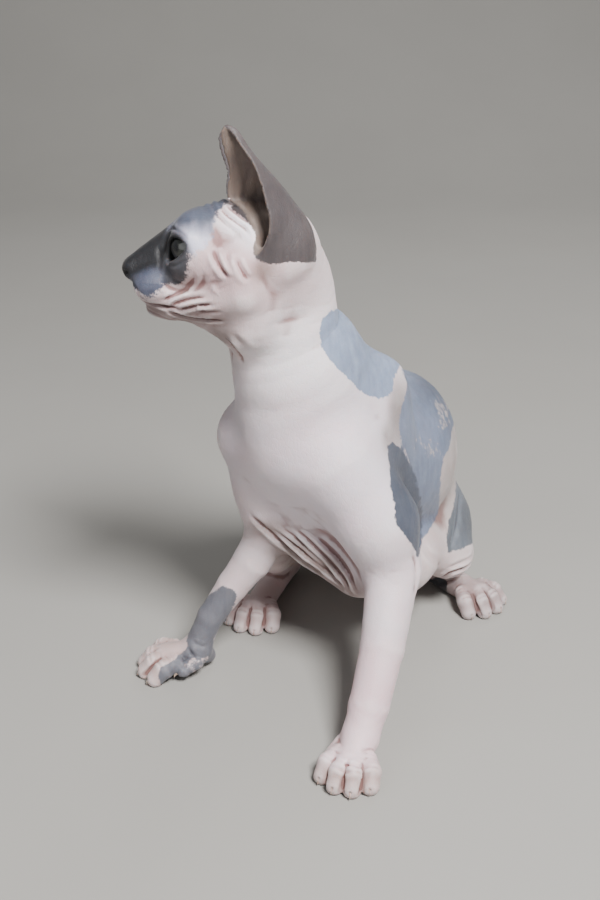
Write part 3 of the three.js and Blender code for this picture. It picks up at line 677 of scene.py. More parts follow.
# Creases of the head, as the camera sees them: pixels, width, depth and ridge in millimetres
HEAD_FOLDS = [
    ([(138, 297.5), (148, 302.5), (160, 306), (171, 308), (180, 308)], 0.85, 2.0, 0.25),
    ([(163, 301), (170, 297), (178, 294), (190, 289)], 0.9, 1.4, 0.5),
    ([(170, 306), (180, 302), (190, 299), (205, 297)], 0.9, 1.6, 0.5),
    ([(178, 310), (188, 308), (199, 305.5), (213, 305)], 0.9, 1.4, 0.5),
    ([(166, 310), (178, 315), (192, 318), (210, 320), (224, 321)], 1.0, 1.4, 0.5),
    ([(145, 306), (153, 313), (164, 317.5), (178, 320)], 0.9, 0.8, 0.4),
    ([(196, 311), (208, 312), (222, 312)], 1.0, 0.7, 0.5),
    ([(162, 275), (165, 284), (173, 290), (184, 289), (192, 282), (195, 274)], 1.2, 0.8, 0.6),
    ([(186, 296), (196, 290), (203, 280), (203, 268)], 1.3, 0.45, 0.5),
    ([(213, 249), (216, 259), (221, 269), (229, 279)], 1.3, 1.1, 0.6),
    ([(236, 257), (239, 266), (244, 275), (249, 281)], 1.3, 1.1, 0.6),
    ([(226, 252), (229, 264), (235, 274)], 1.2, 0.45, 0.5),
    ([(222, 200), (229, 208), (239, 216), (250, 225), (256, 234)], 0.9, 0.8, 0.6),
    ([(217, 204), (224, 213), (234, 221), (246, 230), (253, 240)], 0.9, 0.8, 0.6),
    ([(212, 206), (218, 216), (227, 225), (238, 233)], 0.9, 0.5, 0.6),
    ([(165, 238), (169, 229), (176, 230), (184, 236), (190, 243)], 0.8, 0.9, 0.4),
    ([(167, 262), (174, 266), (182, 263), (188, 256)], 0.8, 0.55, 0.4),
    ([(158, 246), (160, 254), (161, 263), (160, 271)], 1.2, 0.5, 0.4),
    ([(133, 283), (137, 290), (139, 297)], 0.8, 0.5, 0.3),
]

# Creases across the forehead: how far forward, half width to each side, and depth
BROW_FOLDS = [(21.5, 10, 0.35), (17.0, 13, 0.5), (12.5, 15, 0.6), (8.0, 16, 0.65), (3.5, 17, 0.6),
              (-1.5, 17, 0.5), (-6.5, 16, 0.35)]

# Creases of the body, as the camera sees them
BODY_FOLDS = [
    ([(224, 337), (231, 345), (238, 353), (243, 364)], 1.5, 1.2, 0.5),
    ([(226, 347), (232, 358), (235, 372)], 1.5, 0.8, 0.5),
    ([(232, 334), (242, 344), (250, 352)], 1.8, 0.6, 0.5),
    ([(249, 513), (268, 530), (290, 549), (312, 566), (330, 579), (345, 590)], 1.7, 2.0, 0.6),
    ([(266, 522), (283, 536), (305, 553), (325, 569), (344, 586)], 1.4, 1.9, 0.6),
    ([(283, 529), (300, 542), (317, 557), (333, 573), (349, 592)], 1.3, 2.0, 0.6),
    ([(298, 531), (313, 545), (330, 562), (345, 580), (354, 596)], 1.3, 1.9, 0.6),
    ([(318, 538), (336, 554), (350, 574), (358, 592)], 1.2, 1.4, 0.5),
    ([(412, 552), (416, 566), (416, 582), (414, 598)], 1.8, 0.8, 0.3),
    ([(421, 546), (430, 556), (440, 566)], 2.2, 0.6, 0.4),
    ([(438, 578), (452, 572), (466, 567), (475, 560)], 1.5, 1.3, 0.6),
    ([(436, 584), (452, 580), (468, 574)], 1.4, 0.9, 0.6),
    ([(448, 568), (460, 563), (472, 556)], 1.4, 0.7, 0.6),
    ([(457, 482), (459, 502), (457, 522), (450, 548)], 1.6, 1.0, 0.4),
    ([(333, 761), (346, 766), (358, 767), (370, 764)], 1.1, 0.8, 0.5),
    ([(335, 768), (347, 772), (360, 772)], 0.9, 0.6, 0.5),
    ([(336, 752), (346, 757), (357, 758)], 1.1, 0.4, 0.5),
    ([(188, 648), (194, 656), (202, 659)], 1.0, 0.8, 0.5),
    ([(176, 660), (184, 667), (192, 675)], 1.0, 0.8, 0.5),
    ([(168, 666), (172, 674), (178, 681)], 1.0, 0.6, 0.5),
    ([(192, 640), (200, 646), (208, 646)], 1.1, 0.5, 0.5),
]

# Patches of fine parallel wrinkles: centre, reach, the direction across them, spacing, depth
WRINKLES = [
    *[(HEAD.place(18, side * 26, -16), (16, 16, 14), HEAD.forward * 0.35 + HEAD.up * 0.95, 3.8, 0.22)
      for side in (1, -1)],
    (HEAD.place(42, 0, -22), (14, 18, 10), HEAD.forward * 0.9 + HEAD.up * 0.3, 2.6, 0.12),
    (HEAD.place(10, 0, -36), (24, 20, 14), HEAD.forward, 6.5, 0.55),
    (vec(-31, -87, 236), (40, 40, 18), vec(0.1, -0.15, 1), 8.5, 0.5),
    (vec(-20, -70, 205), (30, 32, 20), vec(-0.2, -0.5, 0.9), 9.0, 0.35),
    (vec(-2, -66, 112), (34, 34, 26), vec(0.8, -0.2, 0.7), 6.5, 0.55),
    (vec(-40, -62, 104), (16, 16, 20), vec(0.2, 0.1, 1), 6.0, 0.5),
    (vec(30, -98, 94), (18, 18, 14), vec(0.1, -0.3, 1), 6.0, 0.35),
    (vec(16, -152, 26), (14, 14, 14), vec(0, -0.3, 1), 4.2, 0.35),
    (vec(-78, -73, 27), (12, 12, 12), vec(-0.6, 0, 0.8), 3.6, 0.45),
    (vec(62, 0, 44), (26, 30, 26), vec(0.3, -0.8, 0.6), 6.0, 0.5),
    (vec(-22, -2, 50), (26, 30, 26), vec(-0.3, -0.8, 0.6), 6.0, 0.5),
    (vec(20, -6, 62), (34, 50, 26), vec(0.2, 1, 0.1), 8.0, 0.6),
    (vec(28, 90, 60), (40, 34, 40), vec(0, -0.4, 1), 9.0, 0.35),
    (vec(64, 34, 14), (14, 20, 12), vec(0.2, 1, 0.2), 4.5, 0.35),
    (vec(-31, 30, 14), (14, 20, 12), vec(-0.2, 1, 0.2), 4.5, 0.35),
    (vec(28, 106, 20), (20, 20, 16), vec(0, 1, -0.4), 4.5, 0.3),
]

# Small bumps of the cheek, as the camera sees them: pixel, radius and height in millimetres
WARTS = [((214, 289), 1.5, 0.9), ((198, 307), 1.3, 0.8), ((189, 266), 0.9, 0.5), ((217, 293), 1.0, 0.4)]


def whisker_dots():
    """Four rows of whisker roots on each side of the muzzle."""
    found = []
    for side in (1, -1):
        for row in range(4):
            for n in range(5 - row % 2):
                back, down = n * 3.1 + row * 0.7, row * 3.0 + n * 0.35
                found.append(HEAD.place(53.0 - back, side * 15.5, -13.2 - down))
    return found


def knuckle_folds(foot):
    """Short creases across the top of each toe, behind and before its knuckle."""
    found = []
    r = foot["toe"]
    for root, knuckle, tip in toe_points(foot):
        out = unit((tip - root) * (1, 1, 0))
        across = np.cross(vec(0, 0, 1), out)
        for forward, lift in ((-4.0, 1.0), (2.2, 0.86), (-6.5, 1.05)):
            middle = knuckle + out * forward
            found.append([middle + across * r * x + vec(0, 0, r * lift * (1 - 0.45 * x * x))
                          for x in (-0.75, -0.35, 0, 0.35, 0.75)])
    return found


def relief(cat, p):
    """How far each point of the skin rises or sinks for folds, wrinkles and small bumps."""
    rise = np.zeros(len(p))

    def add_fold(path, width, depth, ridge):
        path = smooth_path(path, max(8, 5 * (len(path) - 1)))
        reach = width * 5
        i = np.nonzero(np.all((p > path.min(axis=0) - reach) & (p < path.max(axis=0) + reach), axis=1))[0]
        if not len(i):
            return
        d, t = path_distance(p[i], path)
        taper = np.clip(np.minimum(t, 1 - t) * 4.5, 0, 1) ** 0.7
        wave = 1 + 0.25 * noise(p[i], 5.0, 3)
        rise[i] += depth * taper * wave * fold_profile(d, width, ridge)

    folds = HEAD_FOLDS + BODY_FOLDS
    spots = seen_on(cat, [spot for fold in folds for spot in fold[0]] + [wart[0] for wart in WARTS])
    start = 0
    for n, (pixels, width, depth, ridge) in enumerate(folds):
        path = spots[start:start + len(pixels)]
        start += len(pixels)
        add_fold(path, width, depth, ridge)
        if n < len(HEAD_FOLDS):
            add_fold(mirrored(path), width, depth, ridge)
    for leg in LEGS:
        for path in knuckle_folds(leg["foot"]):
            add_fold(path, 0.8, 0.5, 0.4)
    q = HEAD.local(p)
    top = (q[:, 2] > 2) & (np.abs(q[:, 1]) < 24) & (np.abs(q[:, 0]) < 34)
    for forward, half, depth in BROW_FOLDS:
        wander = 1.1 * noise(p[top], 9.0, 5) + 0.012 * q[top, 1] ** 2
        d = np.abs(q[top, 0] + wander - forward)
        rise[top] += depth * fold_profile(d, 0.95, 0.5) * np.clip(1.3 - np.abs(q[top, 1]) / half, 0, 1)
    for centre, reach, across, spacing, depth in WRINKLES:
        w = np.linalg.norm((p - centre) / np.array(reach), axis=1)
        i = np.nonzero(w < 1.6)[0]
        phase = (p[i] @ unit(across)) / spacing
        phase += 0.55 * noise(p[i], spacing * 2.6, 7) + 0.2 * noise(p[i], spacing, 8)
        crease = np.exp(-((phase - np.round(phase)) / 0.17) ** 2)
        broken = np.clip(0.75 + 0.7 * noise(p[i], spacing * 2.2, 9), 0, 1)
        rise[i] += depth * (0.3 - crease) * broken * np.exp(-(w[i] * 1.15) ** 2)
    for spot, (_, radius, height) in zip(spots[start:], WARTS):
        for centre in (spot, mirrored(spot[None])[0]):
            d = np.linalg.norm(p - centre, axis=1)
            i = d < radius * 3
            rise[i] += height * np.exp(-(d[i] / radius) ** 2)
    for centre in whisker_dots():
        d = np.linalg.norm(p - centre, axis=1)
        i = d < 6
        flat = np.linalg.norm(np.cross(p[i] - centre, HEAD.left), axis=1)
        rise[i] += 0.22 * np.exp(-(flat / 0.75) ** 2)
    rise += 0.10 * noise(p, 4.0, 11) + 0.16 * noise(p, 11.0, 12)
    feet = p[:, 2] < FLOOR_SINK + 2.5
    rise[feet] *= np.clip((p[feet, 2] - FLOOR_SINK) / 2.5, 0, 1)
    return rise


def sparse_cells(cat, low, high, cell, levels=3):
    """The cubes of a fine grid that the skin may pass through, found from coarse cubes down."""
    size = cell * 2 ** levels
    low = np.asarray(low, dtype=float)
    count = np.ceil((np.asarray(high) - low) / size).astype(int) + 1
    cells = np.stack(np.meshgrid(*[np.arange(n) for n in count], indexing="ij"), axis=-1).reshape(-1, 3)
    corner = np.array([(i, j, k) for i in (0, 1) for j in (0, 1) for k in (0, 1)])
    for level in range(levels, -1, -1):
        size = cell * 2 ** level
        d = cat.distance(low + (cells + 0.5) * size)
        cells = cells[np.abs(d) < size * 1.35 + 0.6]
        if level:
            cells = (cells[:, None, :] * 2 + corner[None]).reshape(-1, 3)
    return cells


# A cube's corners, edges, sides and diagonals
CUBE = np.array([(0, 0, 0), (1, 0, 0), (0, 1, 0), (1, 1, 0), (0, 0, 1), (1, 0, 1), (0, 1, 1), (1, 1, 1)])
CUBE_EDGES = [(0, 1), (2, 3), (4, 5), (6, 7), (0, 2), (1, 3), (4, 6), (5, 7), (0, 4), (1, 5), (2, 6), (3, 7)]
CUBE_SQUARES = [(0, 1, 3, 2), (4, 5, 7, 6), (0, 1, 5, 4), (2, 3, 7, 6), (0, 2, 6, 4), (1, 3, 7, 5)]
CUBE_DIAGONALS = [(0, 7), (1, 6), (2, 5), (3, 4)]


def surface_net(cat, low, high, cell):
    """A closed mesh of quads on the skin: one point for each cube that the skin passes through."""
    cells = sparse_cells(cat, low, high, cell)
    low = np.asarray(low, dtype=float)
    cells = cells + 1
    span = cells.max(axis=0) + 4
    step = np.array([1, span[0], span[0] * span[1]])
    ids = cells @ step
    order = np.argsort(ids)
    ids, cells = ids[order], cells[order]
    corner_ids = ids[:, None] + (CUBE @ step)[None]
    unique, where = np.unique(corner_ids, return_inverse=True)
    where = where.reshape(corner_ids.shape)
    grid = np.stack([unique % span[0], unique // span[0] % span[1], unique // (span[0] * span[1])], axis=1)
    value = cat.distance(low + (grid - 1) * cell)
    for _ in range(20):
        inside = value[where] < 0
        unclear = []
        for a, b, c, d in CUBE_SQUARES:
            x = ((inside[:, a] == inside[:, c]) & (inside[:, b] == inside[:, d])
                 & (inside[:, a] != inside[:, b]))
            unclear.append(where[x][:, [a, b, c, d]].ravel())
        total = inside.sum(axis=1)
        for a, b in CUBE_DIAGONALS:
            x = ((total == 2) & inside[:, a] & inside[:, b]) | ((total == 6) & ~inside[:, a] & ~inside[:, b])
            unclear.append(where[x].ravel())
        unclear = np.unique(np.concatenate(unclear))
        if not len(unclear):
            break
        value[unclear] = np.minimum(value[unclear], -0.03 * cell)
    corners = value[where]
    inside = corners < 0
    live = inside.any(axis=1) & ~inside.all(axis=1)
    ids, cells, corners, inside = ids[live], cells[live], corners[live], inside[live]
    total, weight = np.zeros((len(ids), 3)), np.zeros(len(ids))
    for a, b in CUBE_EDGES:
        x = inside[:, a] != inside[:, b]
        t = corners[x, a] / (corners[x, a] - corners[x, b])
        total[x] += CUBE[a] + t[:, None] * (CUBE[b] - CUBE[a])
        weight[x] += 1
    points = low + (cells - 1 + total / weight[:, None]) * cell
    faces = []
    for axis, far in ((0, 1), (1, 2), (2, 4)):
        u, v = step[(axis + 1) % 3], step[(axis + 2) % 3]
        x = inside[:, 0] != inside[:, far]
        here = ids[x]
        ring = np.stack([here, here - u, here - u - v, here - v], axis=1)
        index = np.searchsorted(ids, ring)
        index[index >= len(ids)] = 0
        known = (ids[index] == ring).all(axis=1)
        solid = inside[x, 0]
        index[~solid] = index[~solid][:, ::-1]
        faces.append(index[known])
    return points, np.concatenate(faces)


def settle(cat, points, rounds=3, limit=0.8):
    """Moves points onto the skin, and gives its outward direction at each."""
    for _ in range(rounds):
        here, slope = cat.slope(points)
        steep = np.maximum(np.einsum("ij,ij->i", slope, slope), 0.05)
        move = -(here / steep)[:, None] * slope
        far = np.linalg.norm(move, axis=1)
        move *= np.minimum(1, limit / np.maximum(far, 1e-9))[:, None]
        points = points + move
    _, slope = cat.slope(points)
    return points, slope / np.maximum(np.linalg.norm(slope, axis=1), 1e-6)[:, None]


def to_metres(p):
    """From the body's own frame to the model's."""
    return (p - CENTRE - (0, 0, FLOOR_SINK)) / 1000


def to_body(p):
    """From the model's frame to the body's own."""
    return p * 1000 + CENTRE + (0, 0, FLOOR_SINK)


SLATE = (0.27, 0.32, 0.42)
# Markings of the body as the camera sees them: outline in pixels, colour, nearest and farthest depth in mm
MARKINGS = {
    "nape": ([(322, 318), (328, 313), (340, 308), (356, 312), (375, 328), (392, 350), (401, 362), (395, 375),
              (390, 395), (375, 398), (360, 390), (345, 375), (330, 360), (321, 345), (320, 330)],
             (0.25, 0.30, 0.41), (560, 900)),
    "back": ([(401, 368), (406, 380), (405, 396), (399, 416), (399, 426), (402, 444), (406, 452), (411, 470),
              (415, 500), (417, 524), (422, 540), (428, 532), (438, 512), (440, 488), (443, 460), (449, 448),
              (452, 430), (460, 400), (450, 370), (425, 355), (410, 358)], (0.175, 0.205, 0.285), (640, 990)),
    "side": ([(387, 446), (392, 443), (400, 448), (410, 464), (417, 480), (421, 500), (422, 530), (421, 546),
              (418, 558), (414, 550), (406, 536), (396, 524), (395, 508), (390, 484), (390, 472), (388, 456)],
             (0.082, 0.093, 0.125), (640, 815)),
    "hip shade": ([(457, 486), (460, 504), (459, 524), (455, 546), (449, 554), (447, 546), (448, 524),
                   (453, 508)], (0.105, 0.115, 0.13), (640, 990)),
    "hip": ([(456, 480), (478, 488), (484, 516), (480, 536), (468, 546), (452, 550), (454, 520)],
            (0.15, 0.165, 0.19), (640, 990)),
    "hind shank": ([(424, 586), (434, 578), (446, 580), (444, 600), (430, 606)],
                   (0.04, 0.04, 0.044), (640, 990)),
    "foreleg": ([(222, 586), (232, 589), (237, 596), (226, 620), (214, 640), (217, 650), (213, 664),
                 (196, 680), (172, 686), (161, 684), (160, 668), (168, 664), (178, 656), (187, 648),
                 (187, 636), (195, 612), (208, 596)], (0.13, 0.13, 0.15), (560, 900)),
}
# Markings of the head, which are the same on its far side
HEAD_MARKINGS = {
    "forehead": ([(166, 232), (164, 222), (178, 203), (200, 188), (228, 186), (229, 200), (222, 208),
                  (215, 222), (212, 236), (204, 248), (194, 250), (188, 243), (180, 233)],
                 (0.062, 0.070, 0.10)),
    "bridge": ([(108, 262), (125, 240), (150, 220), (172, 212), (173, 228), (168, 240), (166, 254),
                (164, 262), (160, 272), (150, 270), (142, 273), (136, 276), (120, 281)],
               (0.011, 0.011, 0.013)),
    "under eye": ([(160, 262), (166, 256), (186, 254), (187, 263), (185, 276), (180, 285), (170, 284),
                   (163, 276)], (0.058, 0.057, 0.066)),
    "lids": ([(162, 236), (167, 228), (174, 228.5), (189, 243), (187, 252), (178, 267), (166, 266)],
             (0.008, 0.008, 0.009)),
    "whisker pad": ([(126, 277), (142, 271), (158, 266), (163, 274), (161, 286), (155, 295), (146, 297),
                     (134, 289)], (0.062, 0.068, 0.10)),
}
EAR_MARKING = [(202, 112), (206, 150), (214, 184), (223, 202), (239, 215), (251, 226), (256, 238), (253, 248),
               (256, 259), (264, 262), (276, 265), (290, 261), (302, 262), (316, 262), (340, 250), (330, 190),
               (290, 140), (240, 112)]
# The forehead's marking pales towards the eye and the temple
FOREHEAD_PALE = (0.50, 0.49, 0.60)
# Patches on the side that the camera doesn't see: centre, reach and colour
HIDDEN_PATCHES = [
    (vec(-34, 20, 112), (26, 34, 34), (0.215, 0.245, 0.325)),
    (vec(-46, -40, 168), (18, 22, 26), (0.30, 0.345, 0.44)),
    (vec(-30, 58, 44), (22, 24, 20), (0.19, 0.205, 0.24)),
    (vec(24, 108, 24), (26, 26, 14), (0.20, 0.215, 0.25)),
    (vec(-36, 136, 6), (18, 22, 12), (0.16, 0.17, 0.195)),
]
# Paler places inside the markings, as the camera sees them: outline, nearest and farthest depth
PALE_SPOTS = [([(436, 398), (446, 404), (450, 424), (443, 428), (436, 414)], (640, 990)),
              ([(419, 440), (436, 444), (440, 454), (428, 456), (420, 450)], (640, 990)),
              ([(184, 664), (196, 657), (205, 658), (202, 668), (192, 672)], (560, 800))]

SKIN = (0.60, 0.50, 0.50)
# Soft colours of cheek, temple and jaw on both sides, in the head's frame: centre, reach, colour and strength
HEAD_TONES = [
    ((12, 24, -8), (19, 12, 13), (0.50, 0.355, 0.365), 9.0),
    ((-6, 22, 9), (15, 12, 11), (0.82, 0.80, 0.85), 10.0),
    ((-12, 24, -18), (19, 14, 13), (0.54, 0.41, 0.415), 9.0),
]
# Soft colours of the bare skin, listed in the same way
SKIN_TONES = [
    (vec(2, -100, 150), (60, 60, 62), (0.70, 0.645, 0.71), 3.0),
    (vec(-30, -90, 222), (34, 36, 34), (0.80, 0.765, 0.79), 4.0),
    (vec(25, -115, 82), (24, 34, 30), (0.64, 0.575, 0.61), 4.0),
    (vec(18, -146, 36), (20, 22, 28), (0.64, 0.48, 0.515), 8.0),
    (vec(14, -184, 5), (28, 17, 10), (0.34, 0.235, 0.215), 16.0),
    (vec(-52, -64, 84), (26, 22, 34), (0.54, 0.46, 0.475), 7.0),
    (vec(-106, -72, 8), (24, 22, 14), (0.42, 0.305, 0.285), 14.0),
    (vec(104, -12, 6), (28, 26, 16), (0.27, 0.20, 0.195), 16.0),
    (vec(82, 16, 12), (24, 26, 16), (0.34, 0.27, 0.265), 9.0),
    (vec(-52, -30, 8), (26, 30, 16), (0.44, 0.325, 0.315), 12.0),
    (vec(32, 4, 150), (38, 64, 34), (0.33, 0.295, 0.285), 14.0),
    (vec(78, 30, 108), (32, 48, 46), (0.30, 0.27, 0.255), 12.0),
    (vec(40, 84, 76), (50, 34, 50), (0.37, 0.325, 0.31), 9.0),
    (vec(92, 14, 40), (24, 24, 22), (0.42, 0.37, 0.365), 6.0),
    (vec(4, -34, 66), (44, 44, 22), (0.46, 0.365, 0.355), 6.0),
    *[(HEAD.place(x, side * y, z), *rest) for (x, y, z), *rest in HEAD_TONES for side in (1, -1)],
    (HEAD.place(44, 0, -27), (20, 16, 9), (0.50, 0.385, 0.40), 9.0),
    (HEAD.place(18, 0, -36), (32, 24, 12), (0.42, 0.32, 0.325), 9.0),
    (HEAD.place(62, 0, -18), (5, 6, 6), (0.58, 0.40, 0.41), 10.0),
]
# Soft colours as the camera sees them, some of which are painted shade: pixel, reach in pixels, farthest
# depth in mm, colour and strength
SEEN_TONES_AND_SHADE = [
    # Brownish loose skin under the breast, darkened with painted shade where it hangs between the forelegs
    ((266, 530), (20, 9), 800, (0.30, 0.235, 0.22), 10.0),
    ((290, 552), (20, 11), 800, (0.23, 0.175, 0.16), 14.0),
    ((316, 568), (22, 12), 800, (0.21, 0.16, 0.145), 14.0),
    ((342, 590), (20, 12), 800, (0.24, 0.19, 0.175), 12.0),
    # Painted shade under the chin and jaw and down the throat
    ((150, 310), (22, 9), 900, (0.10, 0.066, 0.058), 20.0),
    ((188, 318), (30, 8), 900, (0.19, 0.14, 0.13), 16.0),
    ((222, 335), (14, 17), 900, (0.19, 0.15, 0.14), 14.0),
    ((232, 352), (9, 20), 900, (0.42, 0.36, 0.355), 8.0),
    ((262, 272), (10, 11), 900, (0.19, 0.13, 0.105), 18.0),
    ((290, 285), (26, 20), 900, (0.60, 0.49, 0.50), 8.0),
    ((398, 414), (8, 26), 900, (0.23, 0.20, 0.19), 18.0),
    ((390, 438), (7, 14), 900, (0.36, 0.32, 0.31), 12.0),
    # Painted shade on the chest's left side, which turns away from the light
    ((232, 430), (12, 60), 900, (0.55, 0.49, 0.53), 8.0),
    ((350, 758), (24, 11), 800, (0.74, 0.60, 0.635), 12.0),
    ((362, 735), (16, 24), 800, (0.74, 0.60, 0.635), 8.0),
]
# Where a marking is darker or paler, as the camera sees it: pixel, reach in pixels, farthest depth and factor
SEEN_SHADES = [
    ((434, 384), (32, 34), 990, 0.50),
    ((450, 420), (12, 40), 990, 0.70),
    ((472, 516), (22, 40), 990, 0.62),
    ((402, 500), (16, 62), 820, 0.72),
    ((360, 355), (50, 60), 900, 0.84),
    ((425, 490), (18, 60), 990, 0.86),
]
EAR_INSIDE, EAR_OUTSIDE = (0.165, 0.125, 0.105), (0.066, 0.055, 0.056)
# How far an ear's dark colour may reach past the ear, and how far it keeps off the head's middle
EAR_MARGIN = 13.0


def softly(p, centre, reach):
    """A weight that is 1 at a centre and falls off smoothly past its reach."""
    return np.exp(-1.4 * np.linalg.norm((p - centre) / np.array(reach), axis=1) ** 2.4)


def colour_map(cat, p):
    """For each point: the bare skin's colour with its painted shade, the distance to the nearest marking and
    its colour.
    """
    weight = np.full(len(p), 1.0)
    bare = np.tile(SKIN, (len(p), 1)) * 1.0
    for centre, reach, colour, strength in SKIN_TONES:
        w = strength * softly(p, centre, reach)
        bare += w[:, None] * colour
        weight += w
    spots, depth = pictured(p)
    # Some of these soft colours are painted shade: under the chin and jaw, down the throat, on the chest's
    # left side and on the loose skin between the forelegs
    for centre, reach, far, colour, strength in SEEN_TONES_AND_SHADE:
        w = strength * softly(spots, centre, reach) * (depth < far)
        bare += w[:, None] * colour
        weight += w
    bare /= weight[:, None]
    edge = np.full(len(p), FAR_AWAY)
    tone = np.tile(SLATE, (len(p), 1)) * 1.0

    def mark(d, colour):
        pick = (d < 0) | (d < edge)
        tone[pick] = colour if np.ndim(colour) == 1 else colour[pick]
        edge[:] = np.minimum(edge, d)

    scale = depth / FOCAL

    def outlined(spots, depth, scale, outline, near, far):
        d = outline_distance(spots, closed_outline(outline, 4 * len(outline)))
        return np.maximum(d * scale, np.maximum(near - depth, depth - far))

    for outline, colour, (near, far) in MARKINGS.values():
        mark(outlined(spots, depth, scale, outline, near, far), colour)
    for centre, reach, colour in HIDDEN_PATCHES:
        w = np.linalg.norm((p - centre) / np.array(reach), axis=1)
        mark((w - 1 + 0.22 * noise(p, 14.0, 21)) * min(reach), colour)
    for outline, (near, far) in PALE_SPOTS:
        d = outlined(spots, depth, scale, outline, near, far)
        d = d + 3.5 * noise(p, 4.5, 22) + 2.0 * noise(p, 1.8, 23)
        edge[:] = np.maximum(edge, np.minimum(-d - 0.5, -0.12))
    for centre, reach, far, factor in SEEN_SHADES:
        w = softly(spots, centre, reach) * (depth < far)
        tone *= 1 - (1 - factor) * w[:, None]
    head = HEAD.local(p)
    near_head = (head[:, 0] > -34) & (head[:, 2] > -40) & (np.abs(head[:, 1]) < 42)
    h = on_near_side(p[near_head])
    head_spots, head_depth = pictured(h)
    melted, share = np.zeros((len(p), 3)), np.full(len(p), 1e-9)
    joined = np.full(len(p), FAR_AWAY)
    for name, (outline, colour) in HEAD_MARKINGS.items():
        d = np.full(len(p), FAR_AWAY)
        d[near_head] = outlined(head_spots, head_depth, head_depth / FOCAL, outline, 0, 2000)
        if name == "forehead":
            brushed = 3.2 * noise(head * (1.0, 0.22, 0.22), 1.7, 31)
            pale = np.clip((14.5 - head[:, 2] + 0.12 * (24 - head[:, 0]) + brushed) / 12, 0, 1)[:, None]
            colour = np.array(colour) * (1 - pale) + np.array(FOREHEAD_PALE) * pale
        w = np.exp(-np.clip(d + 0.5 * noise(p, 2.2, 32), -5, 30) / 1.1)
        melted += w[:, None] * colour
        share += w
        joined = blend(joined, d, 7.0)
    mark(joined * 0.42, melted / share[:, None])
    for ear, side in zip(cat.ears, (1, -1)):
        box = (p > ear.low - EAR_MARGIN + 1) & (p < ear.high + EAR_MARGIN - 1)
        i = np.nonzero(np.all(box, axis=1))[0]
        found = ear.find(p[i])
        hollow = np.min([cut.distance(p[i]) for cut in concha(side)], axis=0)
        gap = np.minimum(found[:, 0] - found[:, 3] - EAR_MARGIN, hollow - 0.9)
        gap = np.maximum(gap, EAR_MARGIN - np.abs(head[i, 1]))
        spots, depth = pictured(on_near_side(p[i]))
        d = np.full(len(p), FAR_AWAY)
        d[i] = np.maximum(gap, outlined(spots, depth, depth / FOCAL, EAR_MARKING, 0, 2000))
        colour = np.tile(EAR_OUTSIDE, (len(p), 1)) * 1.0
        within = (found[:, 4] > 0) | (hollow < 1.0) & (found[:, 0] - found[:, 3] > 1.5)
        colour[i[within]] = EAR_INSIDE
        mark(d, colour)
    return bare, edge, tone


def smooth(mesh):
    """Shades a mesh without facets."""
    for face in mesh.polygons:
        face.use_smooth = True


def make_object(name, points, faces, closed=False):
    """A smooth-shaded object with its place in its mesh; a closed one has its faces turned outwards."""
    mesh = bpy.data.meshes.new(name)
    mesh.from_pydata([tuple(v) for v in points], [], [tuple(int(i) for i in f) for f in faces])
    mesh.validate()
    mesh.update()
    if closed:
        bm = bmesh.new()
        bm.from_mesh(mesh)
        bmesh.ops.recalc_face_normals(bm, faces=bm.faces)
        bm.to_mesh(mesh)
        bm.free()
    smooth(mesh)
    obj = bpy.data.objects.new(name, mesh)
    bpy.context.scene.collection.objects.link(obj)
    return obj


def set_attribute(mesh, name, kind, values):
    """Stores a number or a colour for each point."""
    layer = mesh.attributes.new(name, kind, "POINT")
    if kind == "FLOAT":
        layer.data.foreach_set("value", np.asarray(values, dtype=np.float32).ravel())
    else:
        full = np.ones((len(values), 4), dtype=np.float32)
        full[:, :3] = values
        layer.data.foreach_set("color", full.ravel())


def vertex_array(mesh):
    """The mesh's points, in metres."""
    out = np.empty(len(mesh.vertices) * 3, dtype=np.float32)
    mesh.vertices.foreach_get("co", out)
    return out.reshape(-1, 3).astype(float)


class Nodes:
    """A short way to build a material's nodes."""

    def __init__(self, name):
        self.material = bpy.data.materials.new(name)
        self.material.use_nodes = True
        self.tree = self.material.node_tree
        self.shader = self.tree.nodes["Principled BSDF"]

    def add(self, kind, inputs=None, **settings):
        node = self.tree.nodes.new(kind)
        for key, value in settings.items():
            setattr(node, key, value)
        for key, value in (inputs or {}).items():
            socket = node.inputs[key]
            if isinstance(value, bpy.types.NodeSocket):
                self.tree.links.new(value, socket)
            else:
                socket.default_value = value
        return node

    def math(self, operation, a, b=0.0, clamp=False):
        return self.add("ShaderNodeMath", {0: a, 1: b}, operation=operation, use_clamp=clamp).outputs[0]

    def mix(self, factor, a, b, blend_type="MIX"):
        node = self.add("ShaderNodeMix", data_type="RGBA", blend_type=blend_type)
        for socket, value in ((node.inputs[0], factor), (node.inputs[6], a), (node.inputs[7], b)):
            if isinstance(value, bpy.types.NodeSocket):
                self.tree.links.new(value, socket)
            else:
                socket.default_value = value if socket == node.inputs[0] else (*value[:3], 1)
        return node.outputs[2]

    def ramp(self, value, low, high, to_low=0.0, to_high=1.0):
        return self.add("ShaderNodeMapRange", {0: value, 1: low, 2: high, 3: to_low, 4: to_high},
                        interpolation_type="SMOOTHSTEP").outputs[0]

    def noise(self, where, scale, detail=3.0, rough=0.55):
        return self.add("ShaderNodeTexNoise", {"Vector": where, "Scale": scale, "Detail": detail,
                                               "Roughness": rough}).outputs["Fac"]

    def stretched(self, where, scale, turn=(0, 0, 0)):
        inputs = {"Vector": where, "Scale": scale, "Rotation": turn}
        return self.add("ShaderNodeMapping", inputs).outputs[0]

    def bump(self, height, distance, normal=None, strength=1.0):
        inputs = {"Height": height, "Distance": distance, "Strength": strength}
        if normal is not None:
            inputs["Normal"] = normal
        return self.add("ShaderNodeBump", inputs).outputs[0]

    def plug(self, socket, value):
        socket = self.shader.inputs[socket]
        if isinstance(value, bpy.types.NodeSocket):
            self.tree.links.new(value, socket)
        else:
            socket.default_value = value


